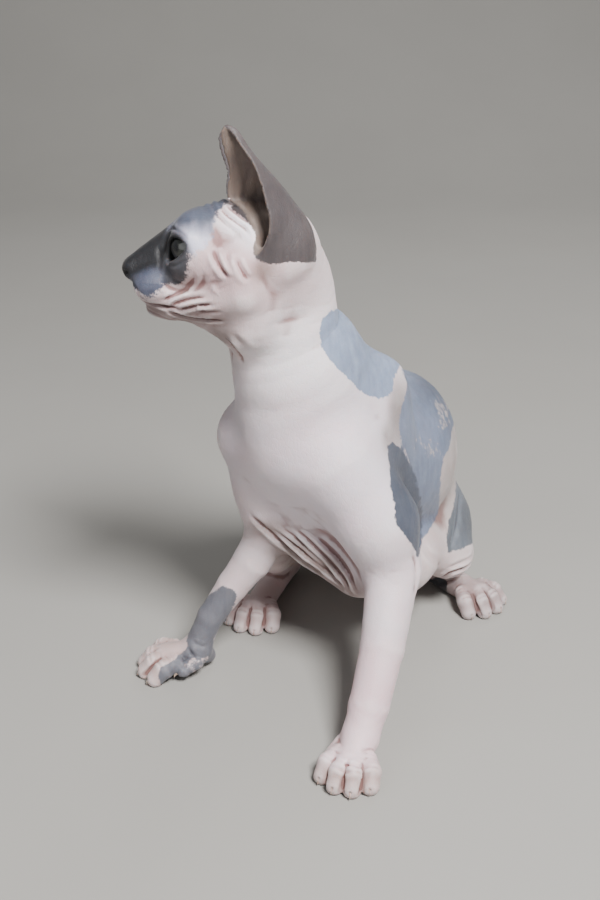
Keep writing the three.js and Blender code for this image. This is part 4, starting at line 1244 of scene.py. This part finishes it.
def skin_material(settings):
    """Bare warm skin with blue-grey patches, painted shade in its folds, painted highlights on its crests,
    fine lines, pores and a peach-like down.
    """
    n = Nodes("bare_skin")
    where = n.add("ShaderNodeTexCoord").outputs["Object"]
    bare = n.add("ShaderNodeAttribute", attribute_name="bare").outputs["Color"]
    tone = n.add("ShaderNodeAttribute", attribute_name="tone").outputs["Color"]
    edge = n.add("ShaderNodeAttribute", attribute_name="edge").outputs["Fac"]
    hollow = n.add("ShaderNodeAttribute", attribute_name="hollow").outputs["Fac"]
    coarse = n.noise(where, 90, 4.0)
    fine = n.noise(where, 420, 5.0, 0.7)
    blush = n.noise(where, 24, 3.0)
    # Bare skin: warm blotches; redder in its folds, where painted shade also darkens it, and a painted
    # highlight that pales the crests
    warm = n.mix(n.ramp(blush, 0.42, 0.68, 0.0, 0.35), bare, settings.blush, "MULTIPLY")
    warm = n.mix(n.ramp(coarse, 0.35, 0.7, 0.0, 0.16), warm, (0.92, 0.86, 0.88), "MULTIPLY")
    warm = n.mix(n.ramp(hollow, 0.03, 0.62, 0.0, 0.95), warm, settings.crease, "MULTIPLY")
    warm = n.mix(n.ramp(hollow, -0.95, -0.3, 0.30, 0.0), warm, (0.86, 0.80, 0.80))
    # Markings: slightly ragged along their edges, with brushed streaks inside
    ragged = n.math("MULTIPLY", n.math("SUBTRACT", n.noise(where, 240, 4.0, 0.65), 0.5), 3.4)
    ragged = n.math("ADD", ragged, n.math("MULTIPLY", n.math("SUBTRACT", n.noise(where, 900, 2.0), 0.5), 1.2))
    mask = n.ramp(n.math("ADD", edge, ragged), -0.45, 0.45, 1.0, 0.0)
    streaks = n.noise(n.stretched(where, (330, 150, 60), (0.35, 0.0, 0.25)), 1.0, 4.0, 0.65)
    clouds = n.noise(where, 60, 5.0, 0.7)
    deep = n.mix(n.ramp(streaks, 0.36, 0.72, 0.0, 0.5), tone, (0.62, 0.64, 0.70), "MULTIPLY")
    deep = n.mix(n.ramp(clouds, 0.50, 0.78, 0.0, 0.42), deep, (1.5, 1.45, 1.35), "MULTIPLY")
    # Painted shade darkens the markings in their folds, and a painted highlight pales them on the crests
    deep = n.mix(n.ramp(hollow, 0.05, 0.8, 0.0, 0.75), deep, (0.35, 0.33, 0.36), "MULTIPLY")
    deep = n.mix(n.ramp(hollow, -0.95, -0.3, 0.25, 0.0), deep, (1.7, 1.65, 1.6), "MULTIPLY")
    colour = n.mix(mask, warm, deep)
    n.plug("Base Color", colour)
    n.plug("Roughness", n.ramp(fine, 0.2, 0.8, settings.roughness - 0.07, settings.roughness + 0.09))
    n.plug("Subsurface Weight", settings.glow)
    n.plug("Subsurface Radius", (1.0, 0.38, 0.24))
    n.plug("Subsurface Scale", settings.glow_depth)
    n.plug("Specular IOR Level", 0.36)
    n.plug("Sheen Weight", settings.down)
    n.plug("Sheen Roughness", 0.45)
    n.plug("Sheen Tint", (1.0, 0.97, 0.95, 1.0))
    pores = n.add("ShaderNodeTexVoronoi", {"Vector": where, "Scale": 1150},
                  feature="DISTANCE_TO_EDGE").outputs[0]
    lines = n.add("ShaderNodeTexVoronoi", {"Vector": n.stretched(where, (1.0, 1.0, 0.55)), "Scale": 430,
                                           "Randomness": 0.9}, feature="DISTANCE_TO_EDGE").outputs[0]
    first = n.bump(n.ramp(lines, 0.0, 0.12), 0.00010, strength=0.55)
    second = n.bump(n.ramp(pores, 0.0, 0.16), 0.00006, first, 0.5)
    third = n.bump(n.noise(n.stretched(where, (1.0, 1.0, 0.45)), 1900, 3.0, 0.7), 0.00012, second, 0.45)
    n.plug("Normal", third)
    return n.material


def sculpted_skin(cat, settings):
    """The whole skin as one mesh, with its folds, thinned where it is flat."""
    cell = settings.cell * 1000 * 1.0
    low = np.min([s.low for s in cat.flesh + cat.ears], axis=0) - 3
    high = np.max([s.high for s in cat.flesh + cat.ears], axis=0) + 3
    points, faces = surface_net(cat, low, high, cell)
    points, normal = settle(cat, points)
    rise = relief(cat, points) * settings.folds
    obj = make_object("skin", to_metres(points + normal * rise[:, None]), faces)
    thin = obj.modifiers.new("thin", "DECIMATE")
    thin.ratio = min(1.0, settings.triangles / (2 * len(faces)))
    graph = bpy.context.evaluated_depsgraph_get()
    mesh = bpy.data.meshes.new_from_object(obj.evaluated_get(graph))
    obj.modifiers.clear()
    obj.data = mesh
    mesh.name = "skin"
    smooth(mesh)
    return obj


def fold_depth(mesh, rounds=14):
    """How far each point lies below the smoothed surface round it, in millimetres: hollows are above 0."""
    p = vertex_array(mesh) * 1000
    edges = np.empty(len(mesh.edges) * 2, dtype=np.int32)
    mesh.edges.foreach_get("vertices", edges)
    a, b = edges.reshape(-1, 2).T
    count = np.bincount(np.concatenate([a, b]), minlength=len(p)).astype(float)[:, None]
    normal = np.empty(len(p) * 3, dtype=np.float32)
    mesh.vertices.foreach_get("normal", normal)
    even = p
    for _ in range(rounds):
        total = np.stack([np.bincount(a, even[b, n], len(p)) + np.bincount(b, even[a, n], len(p))
                          for n in range(3)], axis=1)
        even = total / count
    return np.einsum("ij,ij->i", even - p, normal.reshape(-1, 3))


def paint(obj, cat):
    """Stores the skin's colours, the distance to its markings and the depth of its folds."""
    mesh = obj.data
    p = to_body(vertex_array(mesh))
    bare, edge, tone = colour_map(cat, p)
    depth = fold_depth(mesh)
    set_attribute(mesh, "bare", "FLOAT_COLOR", bare)
    set_attribute(mesh, "tone", "FLOAT_COLOR", tone)
    set_attribute(mesh, "edge", "FLOAT", edge)
    set_attribute(mesh, "hollow", "FLOAT", depth)


def eye_material(settings):
    """A dark iris with fine spokes round a wide pupil, under a clear wet front."""
    n = Nodes("eye_glass")
    polar = n.add("ShaderNodeAttribute", attribute_name="dial").outputs["Vector"]
    parts = n.add("ShaderNodeSeparateXYZ", {0: polar})
    radius = parts.outputs[2]
    spokes = n.noise(n.stretched(polar, (9.0, 9.0, 0.5)), 1.0, 5.0, 0.7)
    iris = n.mix(n.ramp(spokes, 0.35, 0.7), settings.iris, settings.iris_light)
    iris = n.mix(n.ramp(radius, 0.55, 0.9), iris, (0.02, 0.022, 0.02))
    pupil = n.ramp(radius, 0.40, 0.46, 1.0, 0.0)
    white = n.ramp(radius, 0.95, 1.02)
    colour = n.mix(white, n.mix(pupil, iris, (0.004, 0.004, 0.005)), (0.16, 0.12, 0.11))
    n.plug("Base Color", colour)
    n.plug("Roughness", 0.16)
    n.plug("Coat Weight", 1.0)
    n.plug("Coat Roughness", 0.03)
    n.plug("Coat IOR", 1.38)
    n.plug("Normal", n.bump(n.ramp(spokes, 0.3, 0.75), 0.00008, strength=0.4))
    return n.material


def eyeball(side, settings):
    """An eye: a round ball whose front swells into the cornea."""
    frm = eye_frame(side)
    frm.origin = frm.place(-EYE["sunk"], 0, 0)
    rings, spokes = 40, 64
    points, dials = [frm.place(EYE_RADIUS + CORNEA_RISE, 0, 0)], [(0, 0, 0)]
    for i in range(1, rings):
        bend = math.pi * i / rings
        for j in range(spokes):
            turn = 2 * math.pi * j / spokes
            r = EYE_RADIUS + CORNEA_RISE * math.exp(-(bend / CORNEA_REACH) ** 4)
            points.append(frm.place(r * math.cos(bend), r * math.sin(bend) * math.cos(turn),
                                    r * math.sin(bend) * math.sin(turn)))
            dials.append((math.cos(turn), math.sin(turn), bend / settings.iris_reach))
    points.append(frm.place(-EYE_RADIUS, 0, 0))
    dials.append((0, 0, 9))
    faces = [(0, 1 + j, 1 + (j + 1) % spokes) for j in range(spokes)]
    for i in range(rings - 2):
        a, b = 1 + i * spokes, 1 + (i + 1) * spokes
        faces += [(a + j, b + j, b + (j + 1) % spokes, a + (j + 1) % spokes) for j in range(spokes)]
    last, a = len(points) - 1, 1 + (rings - 2) * spokes
    faces += [(last, a + (j + 1) % spokes, a + j) for j in range(spokes)]
    name = "left_eyeball" if side > 0 else "right_eyeball"
    obj = make_object(name, to_metres(np.array(points)), faces, closed=True)
    layer = obj.data.attributes.new("dial", "FLOAT_VECTOR", "POINT")
    layer.data.foreach_set("vector", np.array(dials, dtype=np.float32).ravel())
    return obj


def claw_material(settings):
    """Pale horn with darker, rougher streaks along its grain."""
    n = Nodes("claw_horn")
    where = n.add("ShaderNodeTexCoord").outputs["Object"]
    grain = n.noise(n.stretched(where, (600, 600, 160)), 1.0, 4.0)
    n.plug("Base Color", n.mix(n.ramp(grain, 0.3, 0.7), settings.horn, (0.30, 0.22, 0.19)))
    n.plug("Roughness", n.ramp(grain, 0.2, 0.8, 0.28, 0.42))
    n.plug("Subsurface Weight", 0.2)
    n.plug("Subsurface Scale", 0.001)
    n.plug("Normal", n.bump(grain, 0.00005, strength=0.3))
    return n.material


def claw_shape(length, width):
    """One hooked claw, root at the origin, pointing along +X and curling down."""
    rings, spokes = 9, 10
    points, faces = [], []
    for i in range(rings):
        t = i / rings
        bend = t * CLAW_CURL
        centre = vec(math.sin(bend), 0, math.cos(bend) - 1) * length / CLAW_CURL
        thick = width * 0.5 * (1 - t) ** 0.65
        up = vec(math.sin(bend), 0, math.cos(bend))
        for j in range(spokes):
            turn = 2 * math.pi * j / spokes
            points.append(centre + vec(0, 1, 0) * thick * 0.62 * math.cos(turn) + up * thick * math.sin(turn))
    points.append(vec(math.sin(CLAW_CURL), 0, math.cos(CLAW_CURL) - 1) * length / CLAW_CURL)
    points.append(vec(0, 0, 0))
    tip, root = len(points) - 2, len(points) - 1
    for i in range(rings - 1):
        a, b = i * spokes, (i + 1) * spokes
        faces += [(a + j, b + j, b + (j + 1) % spokes, a + (j + 1) % spokes) for j in range(spokes)]
    a = (rings - 1) * spokes
    faces += [(a + j, tip, a + (j + 1) % spokes) for j in range(spokes)]
    faces += [(root, j, (j + 1) % spokes) for j in range(spokes)]
    return np.array(points) / 1000, faces


# How far claws point down and how far they curl, in radians
CLAW_DROOP = 0.35
CLAW_CURL = 1.25


def claw_roots():
    """Where each claw leaves its toe, and its heading."""
    found = []
    for leg in LEGS:
        foot = leg["foot"]
        frm = foot_frame(foot)
        for _, knuckle, tip in toe_points(foot):
            out = tip - knuckle
            heading = math.atan2(out[1], out[0])
            spot = tip + unit(vec(out[0], out[1], 0)) * foot["toe"] * 0.55 + vec(0, 0, 0.6)
            found.append((spot, heading))
        if foot["thumb"]:
            spot = frm.place(12.3, foot["thumb"] * 13.4, 8.2)
            found.append((spot, math.atan2(frm.forward[1], frm.forward[0])))
    return found


def horn_claws(settings):
    """All claws, placed by geometry nodes on the toes and turned into one plain mesh."""
    roots = claw_roots()
    points = bpy.data.meshes.new("claw_roots")
    points.from_pydata([tuple(to_metres(spot)) for spot, _ in roots], [], [])
    turns = points.attributes.new("turn", "FLOAT_VECTOR", "POINT")
    angles = np.array([(0, CLAW_DROOP, heading) for _, heading in roots], dtype=np.float32)
    turns.data.foreach_set("vector", angles.ravel())
    holder = bpy.data.objects.new("claws", points)
    bpy.context.scene.collection.objects.link(holder)
    pattern_mesh = claw_shape(settings.claw_length * 1000, settings.claw_width * 1000)
    one = make_object("claw_pattern", *pattern_mesh, closed=True)
    material = claw_material(settings)
    tree = bpy.data.node_groups.new("claws_on_toes", "GeometryNodeTree")
    tree.interface.new_socket("Geometry", in_out="INPUT", socket_type="NodeSocketGeometry")
    size = tree.interface.new_socket("Size", in_out="INPUT", socket_type="NodeSocketFloat")
    size.default_value = 1.0
    spread = tree.interface.new_socket("Size difference", in_out="INPUT", socket_type="NodeSocketFloat")
    spread.default_value = 0.1
    tree.interface.new_socket("Geometry", in_out="OUTPUT", socket_type="NodeSocketGeometry")
    node, link = tree.nodes.new, tree.links.new
    start, end = node("NodeGroupInput"), node("NodeGroupOutput")
    pattern = node("GeometryNodeObjectInfo")
    pattern.inputs["Object"].default_value = one
    turn = node("GeometryNodeInputNamedAttribute")
    turn.data_type = "FLOAT_VECTOR"
    turn.inputs["Name"].default_value = "turn"
    to_turn = node("FunctionNodeEulerToRotation")
    chance = node("FunctionNodeRandomValue")
    chance.inputs["Seed"].default_value = 4
    low, high = node("ShaderNodeMath"), node("ShaderNodeMath")
    low.operation, high.operation = "SUBTRACT", "ADD"
    placed, real = node("GeometryNodeInstanceOnPoints"), node("GeometryNodeRealizeInstances")
    finish = node("GeometryNodeSetMaterial")
    finish.inputs["Material"].default_value = material
    for calc in (low, high):
        link(start.outputs["Size"], calc.inputs[0])
        link(start.outputs["Size difference"], calc.inputs[1])
    link(low.outputs[0], chance.inputs[2])
    link(high.outputs[0], chance.inputs[3])
    link(turn.outputs[0], to_turn.inputs[0])
    link(start.outputs["Geometry"], placed.inputs["Points"])
    link(pattern.outputs["Geometry"], placed.inputs["Instance"])
    link(to_turn.outputs[0], placed.inputs["Rotation"])
    link(chance.outputs[1], placed.inputs["Scale"])
    link(placed.outputs[0], real.inputs[0])
    link(real.outputs[0], finish.inputs["Geometry"])
    link(finish.outputs[0], end.inputs[0])
    modifier = holder.modifiers.new("claws", "NODES")
    modifier.node_group = tree
    modifier[size.identifier] = 1.0
    modifier[spread.identifier] = settings.claw_spread
    graph = bpy.context.evaluated_depsgraph_get()
    mesh = bpy.data.meshes.new_from_object(holder.evaluated_get(graph))
    holder.modifiers.clear()
    claws = bpy.data.objects.new("horn_claws", mesh)
    bpy.context.scene.collection.objects.link(claws)
    smooth(mesh)
    if not mesh.materials:
        mesh.materials.append(material)
    for spare in (holder, one):
        bpy.data.objects.remove(spare)
    return claws


def stage_material(name, colour):
    """Matt paper with a faint unevenness."""
    n = Nodes(name)
    where = n.add("ShaderNodeTexCoord").outputs["Object"]
    shade = n.ramp(n.noise(where, 6, 3.0), 0.3, 0.7)
    n.plug("Base Color", n.mix(shade, colour, [c * 0.97 for c in colour]))
    n.plug("Roughness", 0.85)
    return n.material


def soft_light(name, place, target, size, power, colour):
    """A round soft light, turned to a target."""
    data = bpy.data.lights.new(name, "AREA")
    data.shape, data.size, data.energy, data.color = "DISK", size, power, colour
    light = bpy.data.objects.new(name, data)
    light.location = place
    gaze = Vector(target) - Vector(place)
    light.rotation_euler = gaze.to_track_quat("-Z", "Y").to_euler()
    bpy.context.scene.collection.objects.link(light)


class SkinSettings(bpy.types.PropertyGroup):
    """Sizes and colours of the skin"""
    cell: FloatProperty(name="Finest cell", description="Size of the grid that the skin is sculpted on",
                        default=0.00095, min=0.0005, unit="LENGTH")
    triangles: IntProperty(name="Triangles", description="Most triangles in the finished skin",
                           default=196000, min=5000)
    folds: FloatProperty(name="Folds", description="How deep the folds and wrinkles are",
                         default=1.0, subtype="FACTOR")
    roughness: FloatProperty(name="Roughness", description="Roughness of the skin",
                             default=0.52, subtype="FACTOR")
    glow: FloatProperty(name="Glow", description="Light that passes under the skin",
                        default=0.16, subtype="FACTOR")
    glow_depth: FloatProperty(name="Glow depth", description="How far light passes under the skin",
                              default=0.002, unit="LENGTH")
    down: FloatProperty(name="Down", description="Sheen of the fine down", default=0.08, subtype="FACTOR")
    blush: FloatVectorProperty(name="Blush", description="Tint of the warm blotches",
                               default=(1.0, 0.84, 0.84), subtype="COLOR")
    # The crease tint is the skin's redder colour in its folds together with painted shade there
    crease: FloatVectorProperty(name="Crease", description="Tint of the skin deep in its folds",
                                default=(0.44, 0.31, 0.29), subtype="COLOR")


class EyeSettings(bpy.types.PropertyGroup):
    """Colours of the eyes"""
    iris: FloatVectorProperty(name="Iris", description="Dark colour of the iris",
                              default=(0.009, 0.010, 0.009), subtype="COLOR")
    iris_light: FloatVectorProperty(name="Iris spokes", description="Colour of the iris's spokes",
                                    default=(0.022, 0.023, 0.019), subtype="COLOR")
    iris_reach: FloatProperty(name="Iris reach", description="Angle from the eye's middle to the iris's rim",
                              default=0.80, subtype="ANGLE")


class ClawSettings(bpy.types.PropertyGroup):
    """Size and colour of the claws"""
    claw_length: FloatProperty(name="Length", description="Length of a claw", default=0.0042, unit="LENGTH")
    claw_width: FloatProperty(name="Width", description="Height of a claw at its root",
                              default=0.0022, unit="LENGTH")
    claw_spread: FloatProperty(name="Size difference", description="How much claws differ in size",
                               default=0.08, subtype="FACTOR")
    horn: FloatVectorProperty(name="Horn", description="Colour of the claws", default=(0.52, 0.40, 0.34),
                              subtype="COLOR")


class StageSettings(bpy.types.PropertyGroup):
    """Colour of the floor and power of the lights"""
    floor: FloatVectorProperty(name="Floor", description="Colour of the floor and backdrop",
                               default=(0.30, 0.29, 0.27), subtype="COLOR")
    key: FloatProperty(name="Key light", description="Power of the main light", default=64.0, unit="POWER")
    fill: FloatProperty(name="Fill light", description="Power of the soft light from the side", default=5.0,
                        unit="POWER")
    rim: FloatProperty(name="Back light", description="Power of the light from behind",
                       default=7.0, unit="POWER")


class SPHYNX_OT_skin(bpy.types.Operator):
    """Sculpts the skin of the whole body and paints its markings"""
    bl_idname = "object.sphynx_skin"
    bl_label = "Skin"

    def execute(self, context):
        cat = Cat()
        settings = context.scene.sphynx_skin
        skin = sculpted_skin(cat, settings)
        if len(skin.data.polygons) < 1000:
            raise RuntimeError("the skin has no surface")
        paint(skin, cat)
        skin.data.materials.append(skin_material(settings))
        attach(skin, "root")
        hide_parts(*[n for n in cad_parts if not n.endswith("_eye")])
        return {"FINISHED"}


class SPHYNX_OT_eyes(bpy.types.Operator):
    """Adds the two eyes"""
    bl_idname = "object.sphynx_eyes"
    bl_label = "Eyes"

    def execute(self, context):
        settings = context.scene.sphynx_eyes
        material = eye_material(settings)
        for side, node in ((1, "left_eye"), (-1, "right_eye")):
            eye = eyeball(side, settings)
            eye.data.materials.append(material)
            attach(eye, "root")
            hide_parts(node)
        return {"FINISHED"}


class SPHYNX_OT_claws(bpy.types.Operator):
    """Adds the claws at the tips of the toes"""
    bl_idname = "object.sphynx_claws"
    bl_label = "Claws"

    def execute(self, context):
        claws = horn_claws(context.scene.sphynx_claws)
        if not len(claws.data.polygons):
            raise RuntimeError("the claws have no faces")
        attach(claws, "root")
        return {"FINISHED"}


class SPHYNX_OT_stage(bpy.types.Operator):
    """Adds the floor with its rounded backdrop, the lights and the camera"""
    bl_idname = "object.sphynx_stage"
    bl_label = "Stage"

    def execute(self, context):
        settings = context.scene.sphynx_stage
        scene = context.scene
        bend, radius = 1.1, 0.9
        profile = [(-3.0, 0.0), (bend, 0.0)]
        profile += [(bend + radius * math.sin(a), radius - radius * math.cos(a))
                    for a in np.linspace(0.1, math.pi / 2, 14)]
        profile += [(bend + radius, 3.2)]
        points = [(x, y, z) for y, z in profile for x in (-3.0, 3.0)]
        faces = [(2 * i, 2 * i + 1, 2 * i + 3, 2 * i + 2) for i in range(len(profile) - 1)]
        sweep_floor = make_object("studio_floor", points, faces)
        sweep_floor.data.materials.append(stage_material("studio_paper", tuple(settings.floor)))
        soft_light("key_light", (0.42, -0.92, 1.35), (0, 0, 0.18), 0.5, settings.key, (1.0, 0.99, 0.985))
        soft_light("fill_light", (-1.0, -1.2, 0.8), (0, 0, 0.15), 1.2, settings.fill, (0.97, 0.98, 1.0))
        soft_light("back_light", (0.5, 1.1, 1.2), (0, 0, 0.2), 0.8, settings.rim, (1.0, 1.0, 1.0))
        scene.world = bpy.data.worlds.new("studio_air")
        scene.world.use_nodes = True
        air = scene.world.node_tree.nodes["Background"]
        air.inputs["Color"].default_value = (0.95, 0.97, 1.0, 1)
        air.inputs["Strength"].default_value = 0.25
        data = bpy.data.cameras.new("camera")
        data.lens, data.sensor_width = CAMERA_LENS, SENSOR
        camera = bpy.data.objects.new("camera", data)
        camera.location = to_metres(CAMERA)
        camera.rotation_euler = (math.pi / 2 - CAMERA_DOWN, 0, 0)
        scene.collection.objects.link(camera)
        scene.camera = camera
        return {"FINISHED"}


class SPHYNX_PT_panel(bpy.types.Panel):
    """Lists the pieces of the cat"""
    bl_idname = "SPHYNX_PT_panel"
    bl_label = "Sphynx cat"
    bl_space_type = "VIEW_3D"
    bl_region_type = "UI"
    bl_category = "Sphynx cat"

    def draw(self, context):
        for operator, name in PIECES:
            box = self.layout.box()
            box.operator(operator.bl_idname)
            settings = getattr(context.scene, name)
            for prop in settings.bl_rna.properties:
                if prop.identifier not in ("rna_type", "name"):
                    box.prop(settings, prop.identifier)


# The panel's groups of settings, and the pieces in the order in which they are made
SETTINGS = {"sphynx_skin": SkinSettings, "sphynx_eyes": EyeSettings, "sphynx_claws": ClawSettings,
            "sphynx_stage": StageSettings}
PIECES = [(SPHYNX_OT_skin, "sphynx_skin"), (SPHYNX_OT_eyes, "sphynx_eyes"), (SPHYNX_OT_claws, "sphynx_claws"),
          (SPHYNX_OT_stage, "sphynx_stage")]


def register():
    for name, group in SETTINGS.items():
        bpy.utils.register_class(group)
        setattr(bpy.types.Scene, name, PointerProperty(type=group))
    for operator, _ in PIECES:
        bpy.utils.register_class(operator)
    bpy.utils.register_class(SPHYNX_PT_panel)


def unregister():
    bpy.utils.unregister_class(SPHYNX_PT_panel)
    for operator, _ in reversed(PIECES):
        bpy.utils.unregister_class(operator)
    for name, group in reversed(SETTINGS.items()):
        delattr(bpy.types.Scene, name)
        bpy.utils.unregister_class(group)


def main():
    register()
    bpy.ops.object.sphynx_skin()
    bpy.ops.object.sphynx_eyes()
    bpy.ops.object.sphynx_claws()
    bpy.ops.object.sphynx_stage()


if __name__ == "__main__":
    main()
